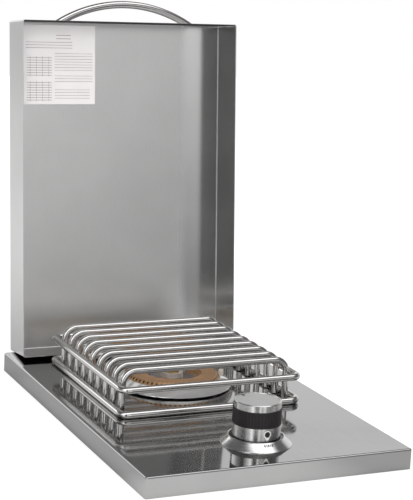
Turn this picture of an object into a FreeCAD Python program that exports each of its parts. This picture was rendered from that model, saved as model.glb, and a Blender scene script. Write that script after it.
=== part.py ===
import FreeCAD, Part
import math
import os
import Sketcher

# Built in gas side burner with a lift-up lid
#
# Frame: +X to the user's right, +Y away from the user, +Z up, millimetres.
# Origin: middle of the top panel, at the height of the counter that its rim rests on.
# Rest pose: lid open on its stop, knob at off, grate seated.

doc = FreeCAD.newDocument("SideBurner")
sheet = doc.addObject("Spreadsheet::Sheet", "Sheet")
nodes = {}


class Size:
    """A length, angle or count with its value and the expression that gives it."""

    def __init__(self, value, text):
        self.value = float(value)
        self.text = text

    def __add__(self, other):
        other = as_size(other)
        return Size(self.value + other.value, f"({self.text} + {other.text})")

    def __sub__(self, other):
        other = as_size(other)
        return Size(self.value - other.value, f"({self.text} - {other.text})")

    def __mul__(self, other):
        other = as_size(other)
        return Size(self.value * other.value, f"({self.text} * {other.text})")

    def __truediv__(self, other):
        other = as_size(other)
        return Size(self.value / other.value, f"({self.text} / {other.text})")

    def __neg__(self):
        return Size(-self.value, f"(0 - {self.text})")

    def __radd__(self, other):
        return as_size(other) + self

    def __rsub__(self, other):
        return as_size(other) - self

    def __rmul__(self, other):
        return as_size(other) * self


def as_size(number):
    """Give a plain number the form of a Size."""
    return number if isinstance(number, Size) else Size(number, repr(float(number)))


def size(alias, value, note):
    """Write one driving dimension into the sheet and return it."""
    row = size.row = getattr(size, "row", 0) + 1
    sheet.set(f"A{row}", note)
    sheet.set(f"B{row}", str(value))
    sheet.setAlias(f"B{row}", alias)
    return Size(value, f"Sheet.{alias}")


# Firebox: the pan that hangs through the counter
box_width = size("box_width", 279.4, "firebox, left to right")
box_length = size("box_length", 431.8, "firebox, front to back")
box_drop = size("box_drop", 101.6, "firebox below the counter")
box_sheet = size("box_sheet", 1.2, "firebox sheet")
box_flange = size("box_flange", 10, "firebox flange under the top panel")
vent_count = size("vent_count", 6, "vent slots in each long wall")
vent_pitch = size("vent_pitch", 56, "vent slots, middle to middle")
vent_length = size("vent_length", 36, "vent slot length")
vent_height = size("vent_height", 7, "vent slot height")
vent_drop = size("vent_drop", 74, "vent slots below the counter")

# Top panel: a sheet tray turned upside down, with a rim turned in under its lip
side_overhang = size("side_overhang", 19.05, "top panel beyond the firebox at each side")
end_overhang = size("end_overhang", 25.4, "top panel beyond the firebox at each end")
plate_width = box_width + side_overhang * 2
plate_depth = box_length + end_overhang * 2
lip_height = size("lip_height", 23.5, "top panel above the counter")
plate_sheet = size("plate_sheet", 1.5, "top panel sheet")
hem_width = size("hem_width", 12, "rim turned in under the lip")
bend_radius = size("bend_radius", 2, "outer radius of the sheet bends")
corner_radius = size("corner_radius", 2.6, "outer radius of the welded sheet corners")

# Places on the top panel
knob_setback = size("knob_setback", 69.6, "knob axis behind the panel's front edge")
pin_setback = size("pin_setback", 39.7, "hinge pin in front of the panel's rear edge")
burner_setback = size("burner_setback", 139.6, "burner centre in front of the hinge pin")
knob_y = knob_setback - plate_depth / 2
pin_y = plate_depth / 2 - pin_setback
burner_y = pin_y - burner_setback

# Clearances
seat_gap = size("seat_gap", 0.3, "gap where parts of two bodies rest on each other")
weld_gap = size("weld_gap", 0.05, "gap at welded and pressed seats")
running_gap = size("running_gap", 0.05, "radial clearance of turning and sliding fits")
screw_gap = size("screw_gap", 0.25, "radial clearance round screws")
hole_gap = size("hole_gap", 0.6, "radial clearance round pieces that pass through sheet")

# Burner
bowl_radius = size("bowl_radius", 48, "burner bowl, outside")
bowl_wall = size("bowl_wall", 3, "burner bowl wall")
bowl_drop = size("bowl_drop", 36, "burner bowl below the counter")
collar_radius = size("collar_radius", 58, "bowl collar on the top panel")
collar_height = size("collar_height", 9.2, "bowl collar thickness")
disc_radius = size("disc_radius", 74.5, "drip disc")
disc_flat = size("disc_flat", 60, "drip disc, radius of its flat middle")
disc_lift = size("disc_lift", 1.8, "drip disc edge above the top panel")
disc_sheet = size("disc_sheet", 1, "drip disc sheet")
base_drop = size("base_drop", 1.3, "burner base below the drip disc")
base_height = size("base_height", 2.5, "burner base thickness")
ring_outer = size("ring_outer", 58.5, "flame ring, outside")
ring_inner = size("ring_inner", 36, "flame ring, inside")
ring_top = size("ring_top", 14.5, "flame ring top above the top panel")
ring_wall = size("ring_wall", 1.8, "flame ring wall")
bevel_width = size("bevel_width", 4, "flame ring bevel, across")
bevel_height = size("bevel_height", 3.7, "flame ring bevel, down")
port_count = size("port_count", 60, "flame ports")
port_radius = size("port_radius", 0.95, "flame port radius")
port_drop = size("port_drop", 2.1, "flame ports below the flame ring's top")
gas_hole_count = size("gas_hole_count", 16, "gas holes under the flame ring")
gas_hole_radius = size("gas_hole_radius", 2, "gas hole radius")
hub_radius = size("hub_radius", 13.8, "burner hub radius")
hub_height = size("hub_height", 5.2, "burner hub above its base")
cap_flats = size("cap_flats", 18, "brass hub nut across flats")
cap_height = size("cap_height", 2.8, "brass hub nut height")
post_circle = size("post_circle", 26, "bowl posts from the burner axis")
post_radius = size("post_radius", 4.5, "bowl post radius")
screw_count = size("screw_count", 3, "screws in each burner circle")
screw_radius = size("screw_radius", 1.5, "small screw shank")
screw_head = size("screw_head", 2.6, "small screw head radius")
screw_rise = size("screw_rise", 1.5, "small screw head height")
screw_grip = size("screw_grip", 8, "small screw length below its head")
collar_screw_grip = size("collar_screw_grip", 14, "collar screw length below its head")
collar_screw_circle = size("collar_screw_circle", 52, "collar screws from the burner axis")
hub_stud = size("hub_stud", 3, "hub stud radius")

# Igniter electrode beside the flame ring
electrode_x = size("electrode_x", 63.5, "electrode right of the burner axis")
electrode_y = size("electrode_y", -7, "electrode behind the burner axis")
ceramic_radius = size("ceramic_radius", 3.4, "electrode ceramic radius")
ceramic_rise = size("ceramic_rise", 14.5, "electrode ceramic above the top panel")
ceramic_drop = size("ceramic_drop", 22, "electrode ceramic below the top panel")
ceramic_collar = size("ceramic_collar", 5.6, "electrode ceramic collar radius")
ceramic_collar_height = size("ceramic_collar_height", 2, "electrode ceramic collar height")
wire_radius = size("wire_radius", 0.8, "electrode wire radius")
wire_rise = size("wire_rise", 3, "electrode wire above the ceramic")
spark_gap = size("spark_gap", 2.2, "electrode wire to flame ring")
clip_width = size("clip_width", 14, "electrode clip width")
clip_sheet = size("clip_sheet", 1.2, "electrode clip sheet")
clip_reach = size("clip_reach", 12, "electrode clip weld tab")

# Mixing tube and its air shutter
tube_radius = size("tube_radius", 12, "mixing tube, outside")
tube_wall = size("tube_wall", 1.2, "mixing tube wall")
tube_drop = size("tube_drop", 16, "mixing tube axis below the counter")
tube_insert = size("tube_insert", 8, "mixing tube inside the bowl's port")
port_boss = size("port_boss", 15.5, "bowl port boss radius")
port_boss_length = size("port_boss_length", 10, "bowl port boss length")
air_window_length = size("air_window_length", 14, "air window along the tube")
air_window_height = size("air_window_height", 12, "air window across the tube")
air_window_setback = size("air_window_setback", 8, "air window behind the tube's mouth")
shutter_wall = size("shutter_wall", 1.2, "air shutter wall")
shutter_margin = size("shutter_margin", 4, "air shutter beyond its window")

# Gas valve under the knob
valve_radius = size("valve_radius", 13, "valve barrel radius")
valve_drop = size("valve_drop", 38, "valve barrel below the counter")
flange_width = size("flange_width", 50, "valve flange width")
flange_depth = size("flange_depth", 27, "valve flange depth")
flange_height = size("flange_height", 4, "valve flange thickness")
valve_screw_x = size("valve_screw_x", 17, "valve screws from the knob axis")
chamber_radius = size("chamber_radius", 9, "valve chamber radius")
chamber_floor = size("chamber_floor", 4, "valve chamber floor below the counter")
plug_height = size("plug_height", 24, "valve plug height")
plug_top = size("plug_top", 8, "valve plug radius at its top")
plug_foot = size("plug_foot", 6, "valve plug radius at its foot")
plug_slot_depth = size("plug_slot_depth", 9, "drive slot depth in the plug")
tang_width = size("tang_width", 3, "drive tang thickness")
tang_span = size("tang_span", 9, "drive tang width")
gas_bore = size("gas_bore", 2.5, "gas passage radius")
branch_bore = size("branch_bore", 2, "plug's side passage radius")
boss_radius = size("boss_radius", 8, "valve side boss radius")
boss_reach = size("boss_reach", 22, "valve side boss from the knob axis")
stem_radius = size("stem_radius", 4, "stem radius")
stem_flat = size("stem_flat", 2.6, "stem flat from the axis")
stem_flat_length = size("stem_flat_length", 20, "stem flat length")
stem_top = size("stem_top", 62, "stem top above the counter")
collar_seat = size("collar_seat", 9, "stem collar top above the counter")
stem_collar = size("stem_collar", 7, "stem collar radius")
stem_collar_height = size("stem_collar_height", 3, "stem collar height")
push_travel = size("push_travel", 4, "knob push travel")
spring_wire = size("spring_wire", 0.9, "return spring wire")
spring_radius = size("spring_radius", 6.2, "return spring mean radius")
spring_turns = size("spring_turns", 4, "return spring turns")
spud_flats = size("spud_flats", 10, "orifice spud across flats")
spud_hex_length = size("spud_hex_length", 6, "orifice spud hexagon length")
spud_nose_radius = size("spud_nose_radius", 3.5, "orifice spud nose radius")
spud_nose_length = size("spud_nose_length", 9, "orifice spud nose length")
orifice_radius = size("orifice_radius", 0.6, "orifice radius")
module_width = size("module_width", 20, "igniter module width")
module_depth = size("module_depth", 26, "igniter module depth")
module_height = size("module_height", 34, "igniter module height")

# Gas line to the back of the firebox
pipe_radius = size("pipe_radius", 4.75, "gas pipe radius")
pipe_wall = size("pipe_wall", 1, "gas pipe wall")
pipe_inset = size("pipe_inset", 39.7, "gas pipe inside the firebox's right side")
pipe_x = box_width / 2 - pipe_inset
pipe_bend = size("pipe_bend", 28, "gas pipe bend radius")
union_flats = size("union_flats", 19, "union nut across flats")
union_length = size("union_length", 12, "union nut length")
inlet_radius = size("inlet_radius", 7.94, "inlet thread radius")
inlet_length = size("inlet_length", 15, "inlet thread length")
inlet_neck = size("inlet_neck", 7.2, "inlet neck radius, in front of its thread")
inlet_neck_length = size("inlet_neck_length", 1.5, "inlet neck length")
inlet_bore = size("inlet_bore", 3.8, "inlet bore radius")
inlet_flats = size("inlet_flats", 22, "inlet body across flats")
inlet_body = size("inlet_body", 10, "inlet body length")
bulkhead_radius = size("bulkhead_radius", 9, "bulkhead thread radius, through the firebox")
locknut_flats = size("locknut_flats", 24, "inlet locknut across flats")
locknut_height = size("locknut_height", 6, "inlet locknut height")

# Knob
bezel_radius = size("bezel_radius", 40.2, "bezel foot radius")
bezel_mouth = size("bezel_mouth", 28.7, "bezel mouth radius")
bezel_height = size("bezel_height", 9, "bezel height")
bezel_sheet = size("bezel_sheet", 1.2, "bezel sheet")
bezel_slant = size("bezel_slant", 3.1, "bezel cone inside its foot")
bezel_bore = size("bezel_bore", 5.8, "bezel and panel bore round the stem")
knob_radius = size("knob_radius", 27.1, "knob grip radius")
knob_lift = size("knob_lift", 7, "knob foot above the top panel")
skirt_height = size("skirt_height", 16, "steel skirt height")
grip_height = size("grip_height", 18, "rubber grip height")
cap_band = size("cap_band", 7.8, "steel cap height")
cap_radius = size("cap_radius", 26.3, "steel cap radius")
cap_sheet = size("cap_sheet", 1.6, "steel cap sheet")
cap_dish = size("cap_dish", 0.7, "dish in the cap's face")
cap_rim = size("cap_rim", 2.2, "rim round the cap's dish")
core_wall = size("core_wall", 3, "knob core wall")
skirt_sheet = size("skirt_sheet", 2, "steel skirt and grip thickness")
skirt_taper = size("skirt_taper", 0.3, "steel skirt narrower at its top")
core_boss = size("core_boss", 9, "knob core boss radius")
rib_count = size("rib_count", 48, "grooves round the grip")
rib_radius = size("rib_radius", 0.7, "grip groove radius")
pointer_radius = size("pointer_radius", 1.9, "pointer dot radius")
pointer_lift = size("pointer_lift", 9.2, "pointer dot above the knob's foot")
pointer_depth = size("pointer_depth", 1, "pointer dot depth")

# Lid: a shallow pan hinged near the back, drawn standing with its rim towards -Y
lid_width = size("lid_width", 295.4, "lid, left to right")
lid_length = size("lid_length", 425.8, "lid, front to back when closed")
lid_depth = size("lid_depth", 56, "lid wall height when closed")
lid_sheet = size("lid_sheet", 1.2, "lid sheet")
lid_lean = size("lid_lean", 5.8, "open lid past the vertical, degrees")
pin_lift = size("pin_lift", 8.5, "hinge pin above the top panel")
pin_inset = size("pin_inset", 4.2, "hinge pin inside the lid's rear wall")
pin_depth = size("pin_depth", 7, "hinge pin inside the lid's rim")
pin_radius = size("pin_radius", 2, "hinge pin radius")
hinge_x = size("hinge_x", 70, "hinges either side of the middle")
lug_sheet = size("lug_sheet", 3, "hinge lug thickness")
lug_width = size("lug_width", 9, "hinge lug upright width")
lug_foot_width = size("lug_foot_width", 12, "hinge lug foot, across")
lug_foot_length = size("lug_foot_length", 14, "hinge lug foot, front to back")
lug_foot_height = size("lug_foot_height", 2, "hinge lug foot thickness")
ear_sheet = size("ear_sheet", 2, "lid bracket ear thickness")
ear_length = size("ear_length", 30, "lid bracket ear into the lid")
notch_gap = size("notch_gap", 0.8, "rear wall notch round the hinge lug")
nut_flats = size("nut_flats", 7, "hinge nut across flats")
nut_height = size("nut_height", 2.4, "hinge nut height")
pin_head_radius = size("pin_head_radius", 3.5, "hinge pin head radius")
pin_head_height = size("pin_head_height", 2.2, "hinge pin head height")

# Lid handle: one bent rod welded to the lid's front wall
handle_radius = size("handle_radius", 4.75, "handle rod radius")
handle_curve = size("handle_curve", 176.5, "handle curve radius")
handle_rise = size("handle_rise", 23.2, "handle rod axis beyond the lid")

# Blank rating plate inside the lid
label_width = size("label_width", 97.4, "rating plate width")
label_height = size("label_height", 101.6, "rating plate height")
label_side = size("label_side", 18.9, "rating plate from the lid's left side")
label_top = size("label_top", 4.4, "rating plate from the lid's front")
label_sheet = size("label_sheet", 0.2, "rating plate thickness")

# Grate: two rod rings with hoops welded inside them
rod_radius = size("rod_radius", 4, "grate rod radius")
grate_width = size("grate_width", 226.2, "grate ring, rod to rod across")
grate_length = size("grate_length", 240.6, "grate ring, rod to rod front to back")
ring_bend = size("ring_bend", 10, "grate ring corner radius")
upper_ring_lift = size("upper_ring_lift", 33, "upper ring axis above the top panel")
hoop_lift = size("hoop_lift", 49.5, "hoop axis above the top panel")
hoop_count = size("hoop_count", 9, "hoops")
hoop_pitch = size("hoop_pitch", 24.75, "hoops, middle to middle")
hoop_bend = size("hoop_bend", 15, "hoop corner radius")
hoop_foot = size("hoop_foot", 1.2, "hoop foot above the top panel")

# Heights that many pieces share
panel_top = lip_height
panel_under = lip_height - plate_sheet
collar_top = panel_top + collar_height
disc_top = collar_top + disc_sheet
base_top = disc_top - base_drop
base_under = base_top - base_height
flame_top = panel_top + ring_top

TURNS = {
    "Z": FreeCAD.Rotation(),
    "X": FreeCAD.Rotation(FreeCAD.Vector(0, 1, 0), 90),
    "Y": FreeCAD.Rotation(FreeCAD.Vector(1, 0, 0), -90),
}


def bind(thing, prop, amount):
    """Tie a property to the sheet."""
    thing.setExpression(prop, as_size(amount).text)


def place(thing, at=(0, 0, 0), rotation=None):
    """Put a thing at a point, with its place tied to the sheet."""
    point = [as_size(value) for value in at]
    base = FreeCAD.Vector(*[value.value for value in point])
    thing.Placement = FreeCAD.Placement(base, rotation or FreeCAD.Rotation())
    for letter, value in zip("xyz", point):
        bind(thing, f"Placement.Base.{letter}", value)
    return thing


def count_of(amount):
    """Whole number held by a Size."""
    return int(round(amount.value))


def new(kind, name):
    """Add an object to the document."""
    return doc.addObject(kind, name)


def block(name, low, high):
    """A box between two corners."""
    box = new("Part::Box", name)
    for prop, start, end in zip(("Length", "Width", "Height"), low, high):
        bind(box, prop, as_size(end) - as_size(start))
    return place(box, low)


def cylinder(name, radius, length, at=(0, 0, 0), along="Z"):
    """A cylinder that starts at a point and runs along an axis."""
    drum = new("Part::Cylinder", name)
    bind(drum, "Radius", radius)
    bind(drum, "Height", length)
    return place(drum, at, TURNS[along])


def tube(name, outer, inner, length, at=(0, 0, 0), along="Z"):
    """A cylinder with a bore."""
    return cut(name, cylinder(f"{name}_outside", outer, length, at, along),
               cylinder(f"{name}_bore", inner, length, at, along))


def hexagon(name, flats, length, at=(0, 0, 0), along="Z"):
    """A hexagonal prism, sized across its flats."""
    prism = new("Part::Prism", name)
    prism.Polygon = 6
    bind(prism, "Circumradius", as_size(flats) / math.sqrt(3))
    bind(prism, "Height", length)
    return place(prism, at, TURNS[along])


def fuse(name, *shapes):
    """Join shapes into one solid."""
    joined = new("Part::MultiFuse", name)
    joined.Shapes = list(shapes)
    joined.Refine = True
    return joined


def group(name, *shapes):
    """Keep several solids together as one node."""
    several = new("Part::Compound", name)
    several.Links = list(shapes)
    return several


def cut(name, base, *tools):
    """Take tools away from a shape."""
    carved = new("Part::Cut", name)
    carved.Base = base
    carved.Tool = tools[0] if len(tools) == 1 else fuse(f"{name}_tools", *tools)
    return carved


def rounded(name, base, radius, chosen):
    """Fillet the edges that a test picks out."""
    doc.recompute()
    edges = [index for index, edge in enumerate(base.Shape.Edges, start=1) if chosen(edge)]
    soft = new("Part::Fillet", name)
    soft.Base = base
    soft.Edges = [(index, radius.value, radius.value) for index in edges]
    return soft


def turned(name, profile, at=(0, 0, 0), along="Z"):
    """A body turned about its own axis from a closed outline of radius and height."""
    body = new("PartDesign::Body", name)
    sketch = body.newObject("Sketcher::SketchObject", f"{name}_outline")
    plane = next(item for item in body.Origin.OriginFeatures if item.Role == "XZ_Plane")
    sketch.AttachmentSupport = (plane, "")
    sketch.MapMode = "FlatFace"
    points = [(as_size(radius), as_size(height)) for radius, height in profile]
    corners = [FreeCAD.Vector(radius.value, height.value, 0) for radius, height in points]
    total = len(corners)
    for index in range(total):
        sketch.addGeometry(Part.LineSegment(corners[index], corners[(index + 1) % total]), False)
    for index in range(total):
        sketch.addConstraint(Sketcher.Constraint("Coincident", index, 2, (index + 1) % total, 1))
    for index, (radius, height) in enumerate(points):
        for kind, amount in (("DistanceX", radius), ("DistanceY", height)):
            number = sketch.addConstraint(Sketcher.Constraint(kind, index, 1, amount.value))
            sketch.setExpression(f"Constraints[{number}]", amount.text)
    spin = body.newObject("PartDesign::Revolution", f"{name}_turn")
    spin.Profile = sketch
    spin.ReferenceAxis = (sketch, ["V_Axis"])
    spin.Angle = 360
    return place(body, at, TURNS[along])


def around(name, count, radius, make):
    """Copies made by a function at even steps round the Z axis, from the front."""
    total = count_of(count)
    copies = []
    for index in range(total):
        angle = Size(360 * index / total, f"(360 * {index} / {count.text})")
        x = Size(radius.value * math.sin(math.radians(angle.value)),
                 f"({radius.text} * sin({angle.text}))")
        y = Size(-radius.value * math.cos(math.radians(angle.value)),
                 f"(0 - {radius.text} * cos({angle.text}))")
        copies.append(make(f"{name}_{index + 1}", x, y, angle.value))
    return copies


def rod_path(points, bend):
    """Straight runs between points, joined by arcs of one radius."""
    edges = []
    start = points[0]
    for before, corner, after in zip(points, points[1:], points[2:]):
        inward = (before - corner).normalize()
        outward = (after - corner).normalize()
        half = inward.getAngle(outward) / 2
        reach = bend / math.tan(half)
        middle = (inward + outward).normalize() * (bend / math.sin(half) - bend)
        first = corner + inward * reach
        last = corner + outward * reach
        edges.append(Part.LineSegment(start, first).toShape())
        edges.append(Part.Arc(first, corner + middle, last).toShape())
        start = last
    if not start.isEqual(points[-1], 1e-6):
        edges.append(Part.LineSegment(start, points[-1]).toShape())
    return Part.Wire(edges)


def rod_shape(path, radius):
    """A round rod along a path."""
    start = path.Edges[0]
    direction = start.tangentAt(start.FirstParameter)
    ring = Part.Wire(Part.makeCircle(radius, start.valueAt(start.FirstParameter), direction))
    return path.makePipeShell([ring], True, False)


def bent_rod(name, points, bend, radius, bore=None):
    """A bent rod or pipe."""
    path = rod_path([FreeCAD.Vector(*[as_size(value).value for value in point]) for point in points],
                    bend.value)
    shape = rod_shape(path, radius.value)
    if bore is not None:
        shape = shape.cut(rod_shape(path, bore.value))
    rod = new("Part::Feature", name)
    rod.Shape = shape
    return rod


def node(label, thing):
    """Name a finished piece."""
    thing.Label = label
    nodes[label] = thing
    return thing


def upright(edge):
    """True for a straight edge along Z."""
    return abs(edge.tangentAt(edge.FirstParameter).z) > 0.999


def above(level):
    """A test for edges that lie wholly at or above a height."""
    return lambda edge: edge.BoundBox.ZMin > level.value - 0.01


def drill(name, radius, x, y):
    """A drill through the top panel."""
    return cylinder(name, radius, plate_sheet * 3, (x, y, panel_under - plate_sheet))


# Top panel
def make_top_panel():
    half_x = plate_width / 2
    half_y = plate_depth / 2
    slab = block("panel_slab", (-half_x, -half_y, 0), (half_x, half_y, lip_height))
    corners = rounded("panel_corners", slab, corner_radius, upright)
    soft = rounded("panel_bends", corners, bend_radius, above(lip_height))
    inner_x = half_x - plate_sheet
    inner_y = half_y - plate_sheet
    hollow = block("panel_hollow", (-inner_x, -inner_y, plate_sheet), (inner_x, inner_y, panel_under))
    mouth_x = half_x - hem_width
    mouth_y = half_y - hem_width
    mouth = block("panel_mouth", (-mouth_x, -mouth_y, -plate_sheet), (mouth_x, mouth_y, panel_under))
    holes = [
        drill("panel_burner_hole", bowl_radius + hole_gap, 0, burner_y),
        drill("panel_stem_hole", bezel_bore, 0, knob_y),
        drill("panel_electrode_hole", ceramic_radius + hole_gap, electrode_x, burner_y + electrode_y),
        drill("panel_valve_hole_left", screw_radius + screw_gap, -valve_screw_x, knob_y),
        drill("panel_valve_hole_right", screw_radius + screw_gap, valve_screw_x, knob_y),
    ]
    holes += around("panel_collar_hole", screw_count, collar_screw_circle,
                    lambda name, x, y, angle: drill(name, screw_radius + screw_gap, x, burner_y + y))
    node("top_panel", cut("panel", soft, hollow, mouth, *holes))


# Firebox
def make_firebox():
    half_x = box_width / 2
    half_y = box_length / 2
    shell = block("box_shell", (-half_x, -half_y, -box_drop), (half_x, half_y, panel_under))
    flange = block("box_flange_plate",
                   (-half_x - box_flange, -half_y - box_flange, panel_under - box_sheet),
                   (half_x + box_flange, half_y + box_flange, panel_under))
    hollow = block("box_hollow", (-half_x + box_sheet, -half_y + box_sheet, -box_drop + box_sheet),
                   (half_x - box_sheet, half_y - box_sheet, panel_under + box_sheet))
    vents = []
    for index in range(count_of(vent_count)):
        middle = (index - (vent_count - 1) / 2) * vent_pitch
        vents.append(block(f"box_vent_{index + 1}",
                           (-half_x - box_sheet, middle - vent_length / 2, -vent_drop),
                           (half_x + box_sheet, middle + vent_length / 2, -vent_drop + vent_height)))
    inlet = cylinder("box_inlet_hole", bulkhead_radius + screw_gap, box_sheet * 3,
                     (pipe_x, half_y - box_sheet * 2, -tube_drop), "Y")
    node("firebox", cut("box", fuse("box_outside", shell, flange), hollow, inlet, *vents))


# Burner bowl, drip disc, base, hub and flame ring
def make_burner():
    floor = -bowl_drop
    inner = bowl_radius - bowl_wall
    bowl = turned("bowl_cup", [
        (0, floor), (bowl_radius, floor), (bowl_radius, panel_top), (collar_radius, panel_top),
        (collar_radius, collar_top), (inner, collar_top), (inner, floor + bowl_wall),
        (0, floor + bowl_wall)])
    boss_start = -bowl_radius - port_boss_length
    boss = cylinder("bowl_boss", port_boss, port_boss_length + bowl_wall,
                    (0, boss_start, -tube_drop), "Y")
    posts = around("bowl_post", screw_count, post_circle, lambda name, x, y, angle: cylinder(
        name, post_radius, base_under - floor, (x, y, floor)))
    port = cylinder("bowl_port", tube_radius + weld_gap, tube_insert, (0, boss_start, -tube_drop), "Y")
    throat = cylinder("bowl_throat", tube_radius - tube_wall, port_boss_length + bowl_wall * 3,
                      (0, boss_start, -tube_drop), "Y")
    post_holes = around("bowl_post_hole", screw_count, post_circle, lambda name, x, y, angle: cylinder(
        name, screw_radius + weld_gap, screw_grip - base_height + weld_gap,
        (x, y, base_top - screw_grip - weld_gap)))
    collar_holes = around("bowl_collar_hole", screw_count, collar_screw_circle,
                          lambda name, x, y, angle: cylinder(
                              name, screw_radius + screw_gap, collar_height, (x, y, panel_top)))
    carved = cut("bowl_cut", fuse("bowl_outside", bowl, boss, *posts), port, throat,
                 *post_holes, *collar_holes)
    node("burner_bowl", place(carved, (0, burner_y, 0)))

    clear = inner + hole_gap
    edge = panel_top + disc_lift
    soft = disc_sheet / 2
    disc = turned("disc_turn", [
        (clear, collar_top), (disc_flat, collar_top), (disc_radius - soft, edge),
        (disc_radius, edge + soft), (disc_radius - soft / 2, edge + disc_sheet),
        (disc_flat, disc_top), (clear, disc_top)])
    spark_hole = cylinder("disc_spark_hole", ceramic_radius + hole_gap, collar_height + disc_sheet * 2,
                          (electrode_x, electrode_y, panel_top))
    disc_holes = around("disc_hole", screw_count, collar_screw_circle,
                        lambda name, x, y, angle: cylinder(
                            name, screw_radius + screw_gap, disc_sheet * 3,
                            (x, y, collar_top - disc_sheet)))
    node("drip_disc", place(cut("disc_cut", disc, spark_hole, *disc_holes), (0, burner_y, 0)))

    base = cylinder("base_plate", inner - weld_gap, base_height, (0, 0, base_under))
    channel = (ring_inner + ring_wall + inner) / 2
    gas_holes = around("base_gas_hole", gas_hole_count, channel, lambda name, x, y, angle: cylinder(
        name, gas_hole_radius, base_height, (x, y, base_under)))
    post_screw_holes = around("base_post_hole", screw_count, post_circle,
                              lambda name, x, y, angle: cylinder(
                                  name, screw_radius + screw_gap, base_height, (x, y, base_under)))
    stud_hole = cylinder("base_stud_hole", hub_stud + weld_gap, base_height, (0, 0, base_under))
    node("burner_base", place(cut("base_cut", base, stud_hole, *gas_holes, *post_screw_holes),
                              (0, burner_y, 0)))

    hub_top = base_top + hub_height
    hub = turned("hub_turn", [
        (0, base_under), (hub_stud, base_under), (hub_stud, base_top), (hub_radius, base_top),
        (hub_radius, hub_top), (hub_stud, hub_top), (hub_stud, hub_top + cap_height),
        (0, hub_top + cap_height)])
    node("burner_hub", place(hub, (0, burner_y, 0)))
    nut = cut("cap_cut", hexagon("cap_hexagon", cap_flats, cap_height, (0, 0, hub_top)),
              cylinder("cap_bore", hub_stud + weld_gap, cap_height, (0, 0, hub_top)))
    node("hub_nut", place(nut, (0, burner_y, 0)))

    wall_inner = ring_outer - ring_wall
    roof = flame_top - ring_wall
    ring_foot = disc_top + weld_gap
    ring = turned("flame_turn", [
        (ring_inner, base_top), (ring_inner, flame_top), (ring_outer - bevel_width, flame_top),
        (ring_outer, flame_top - bevel_height), (ring_outer, ring_foot), (wall_inner, ring_foot),
        (ring_outer - bevel_width - ring_wall / 2, roof), (ring_inner + ring_wall, roof),
        (ring_inner + ring_wall, base_top)])
    ports = around("flame_port", port_count, wall_inner - bevel_width, lambda name, x, y, angle: place(
        cylinder(name, port_radius, bevel_width * 2), (x, y, flame_top - port_drop),
        FreeCAD.Rotation(FreeCAD.Vector(0, 0, 1), angle) * FreeCAD.Rotation(
            FreeCAD.Vector(1, 0, 0), 90)))
    node("flame_ring", place(cut("flame_cut", ring, *ports), (0, burner_y, 0)))


def small_screw(name, x, y, seat, grip=screw_grip):
    """A pan head screw with a hexagon socket, standing on its seat."""
    head = cylinder(f"{name}_head", screw_head, screw_rise, (x, y, seat))
    shank = cylinder(f"{name}_shank", screw_radius, grip, (x, y, seat - grip))
    socket = hexagon(f"{name}_socket", screw_radius * 1.6, screw_rise, (x, y, seat + screw_rise / 2))
    return cut(name, fuse(f"{name}_solid", head, shank), socket)


def make_burner_screws():
    post_screws = around("post_screw", screw_count, post_circle,
                         lambda name, x, y, angle: small_screw(name, x, y, base_top))
    node("burner_screws", place(group("post_screw_group", *post_screws), (0, burner_y, 0)))
    collar_screws = around("collar_screw", screw_count, collar_screw_circle,
                           lambda name, x, y, angle: small_screw(
                               name, x, y, disc_top, collar_screw_grip))
    node("collar_screws", place(group("collar_screw_group", *collar_screws), (0, burner_y, 0)))


# Igniter electrode and the clip that holds it under the top panel
def make_igniter():
    at = (electrode_x, burner_y + electrode_y, 0)
    foot = panel_top - ceramic_drop
    head = panel_top + ceramic_rise
    collar_foot = panel_under - ceramic_collar_height
    bore = wire_radius + weld_gap
    ceramic = turned("ceramic_turn", [
        (bore, foot), (ceramic_radius, foot), (ceramic_radius, collar_foot),
        (ceramic_collar, collar_foot), (ceramic_collar, panel_under), (ceramic_radius, panel_under),
        (ceramic_radius, head - ceramic_radius / 2), (ceramic_radius / 2, head), (bore, head)])
    node("igniter_ceramic", place(ceramic, at))
    spark_x = ring_outer + spark_gap - electrode_x
    tip = bent_rod("igniter_wire", [(0, 0, foot - wire_rise), (0, 0, head + wire_rise),
                                    (spark_x, 0, head + wire_rise)], wire_radius * 2, wire_radius)
    node("igniter_tip", place(tip, at))
    half = clip_width / 2
    floor = collar_foot - clip_sheet
    shelf = block("clip_shelf", (-half, -half, floor), (half, half, collar_foot))
    web = block("clip_web", (half - clip_sheet, -half, floor), (half, half, panel_under))
    tab = block("clip_tab", (half - clip_sheet, -half, panel_under - clip_sheet),
                (half + clip_reach, half, panel_under))
    hole = cylinder("clip_hole", ceramic_radius + screw_gap, clip_sheet, (0, 0, floor))
    clip = cut("clip_cut", fuse("clip_solid", shelf, web, tab), hole)
    node("igniter_clip", place(clip, at))


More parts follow.
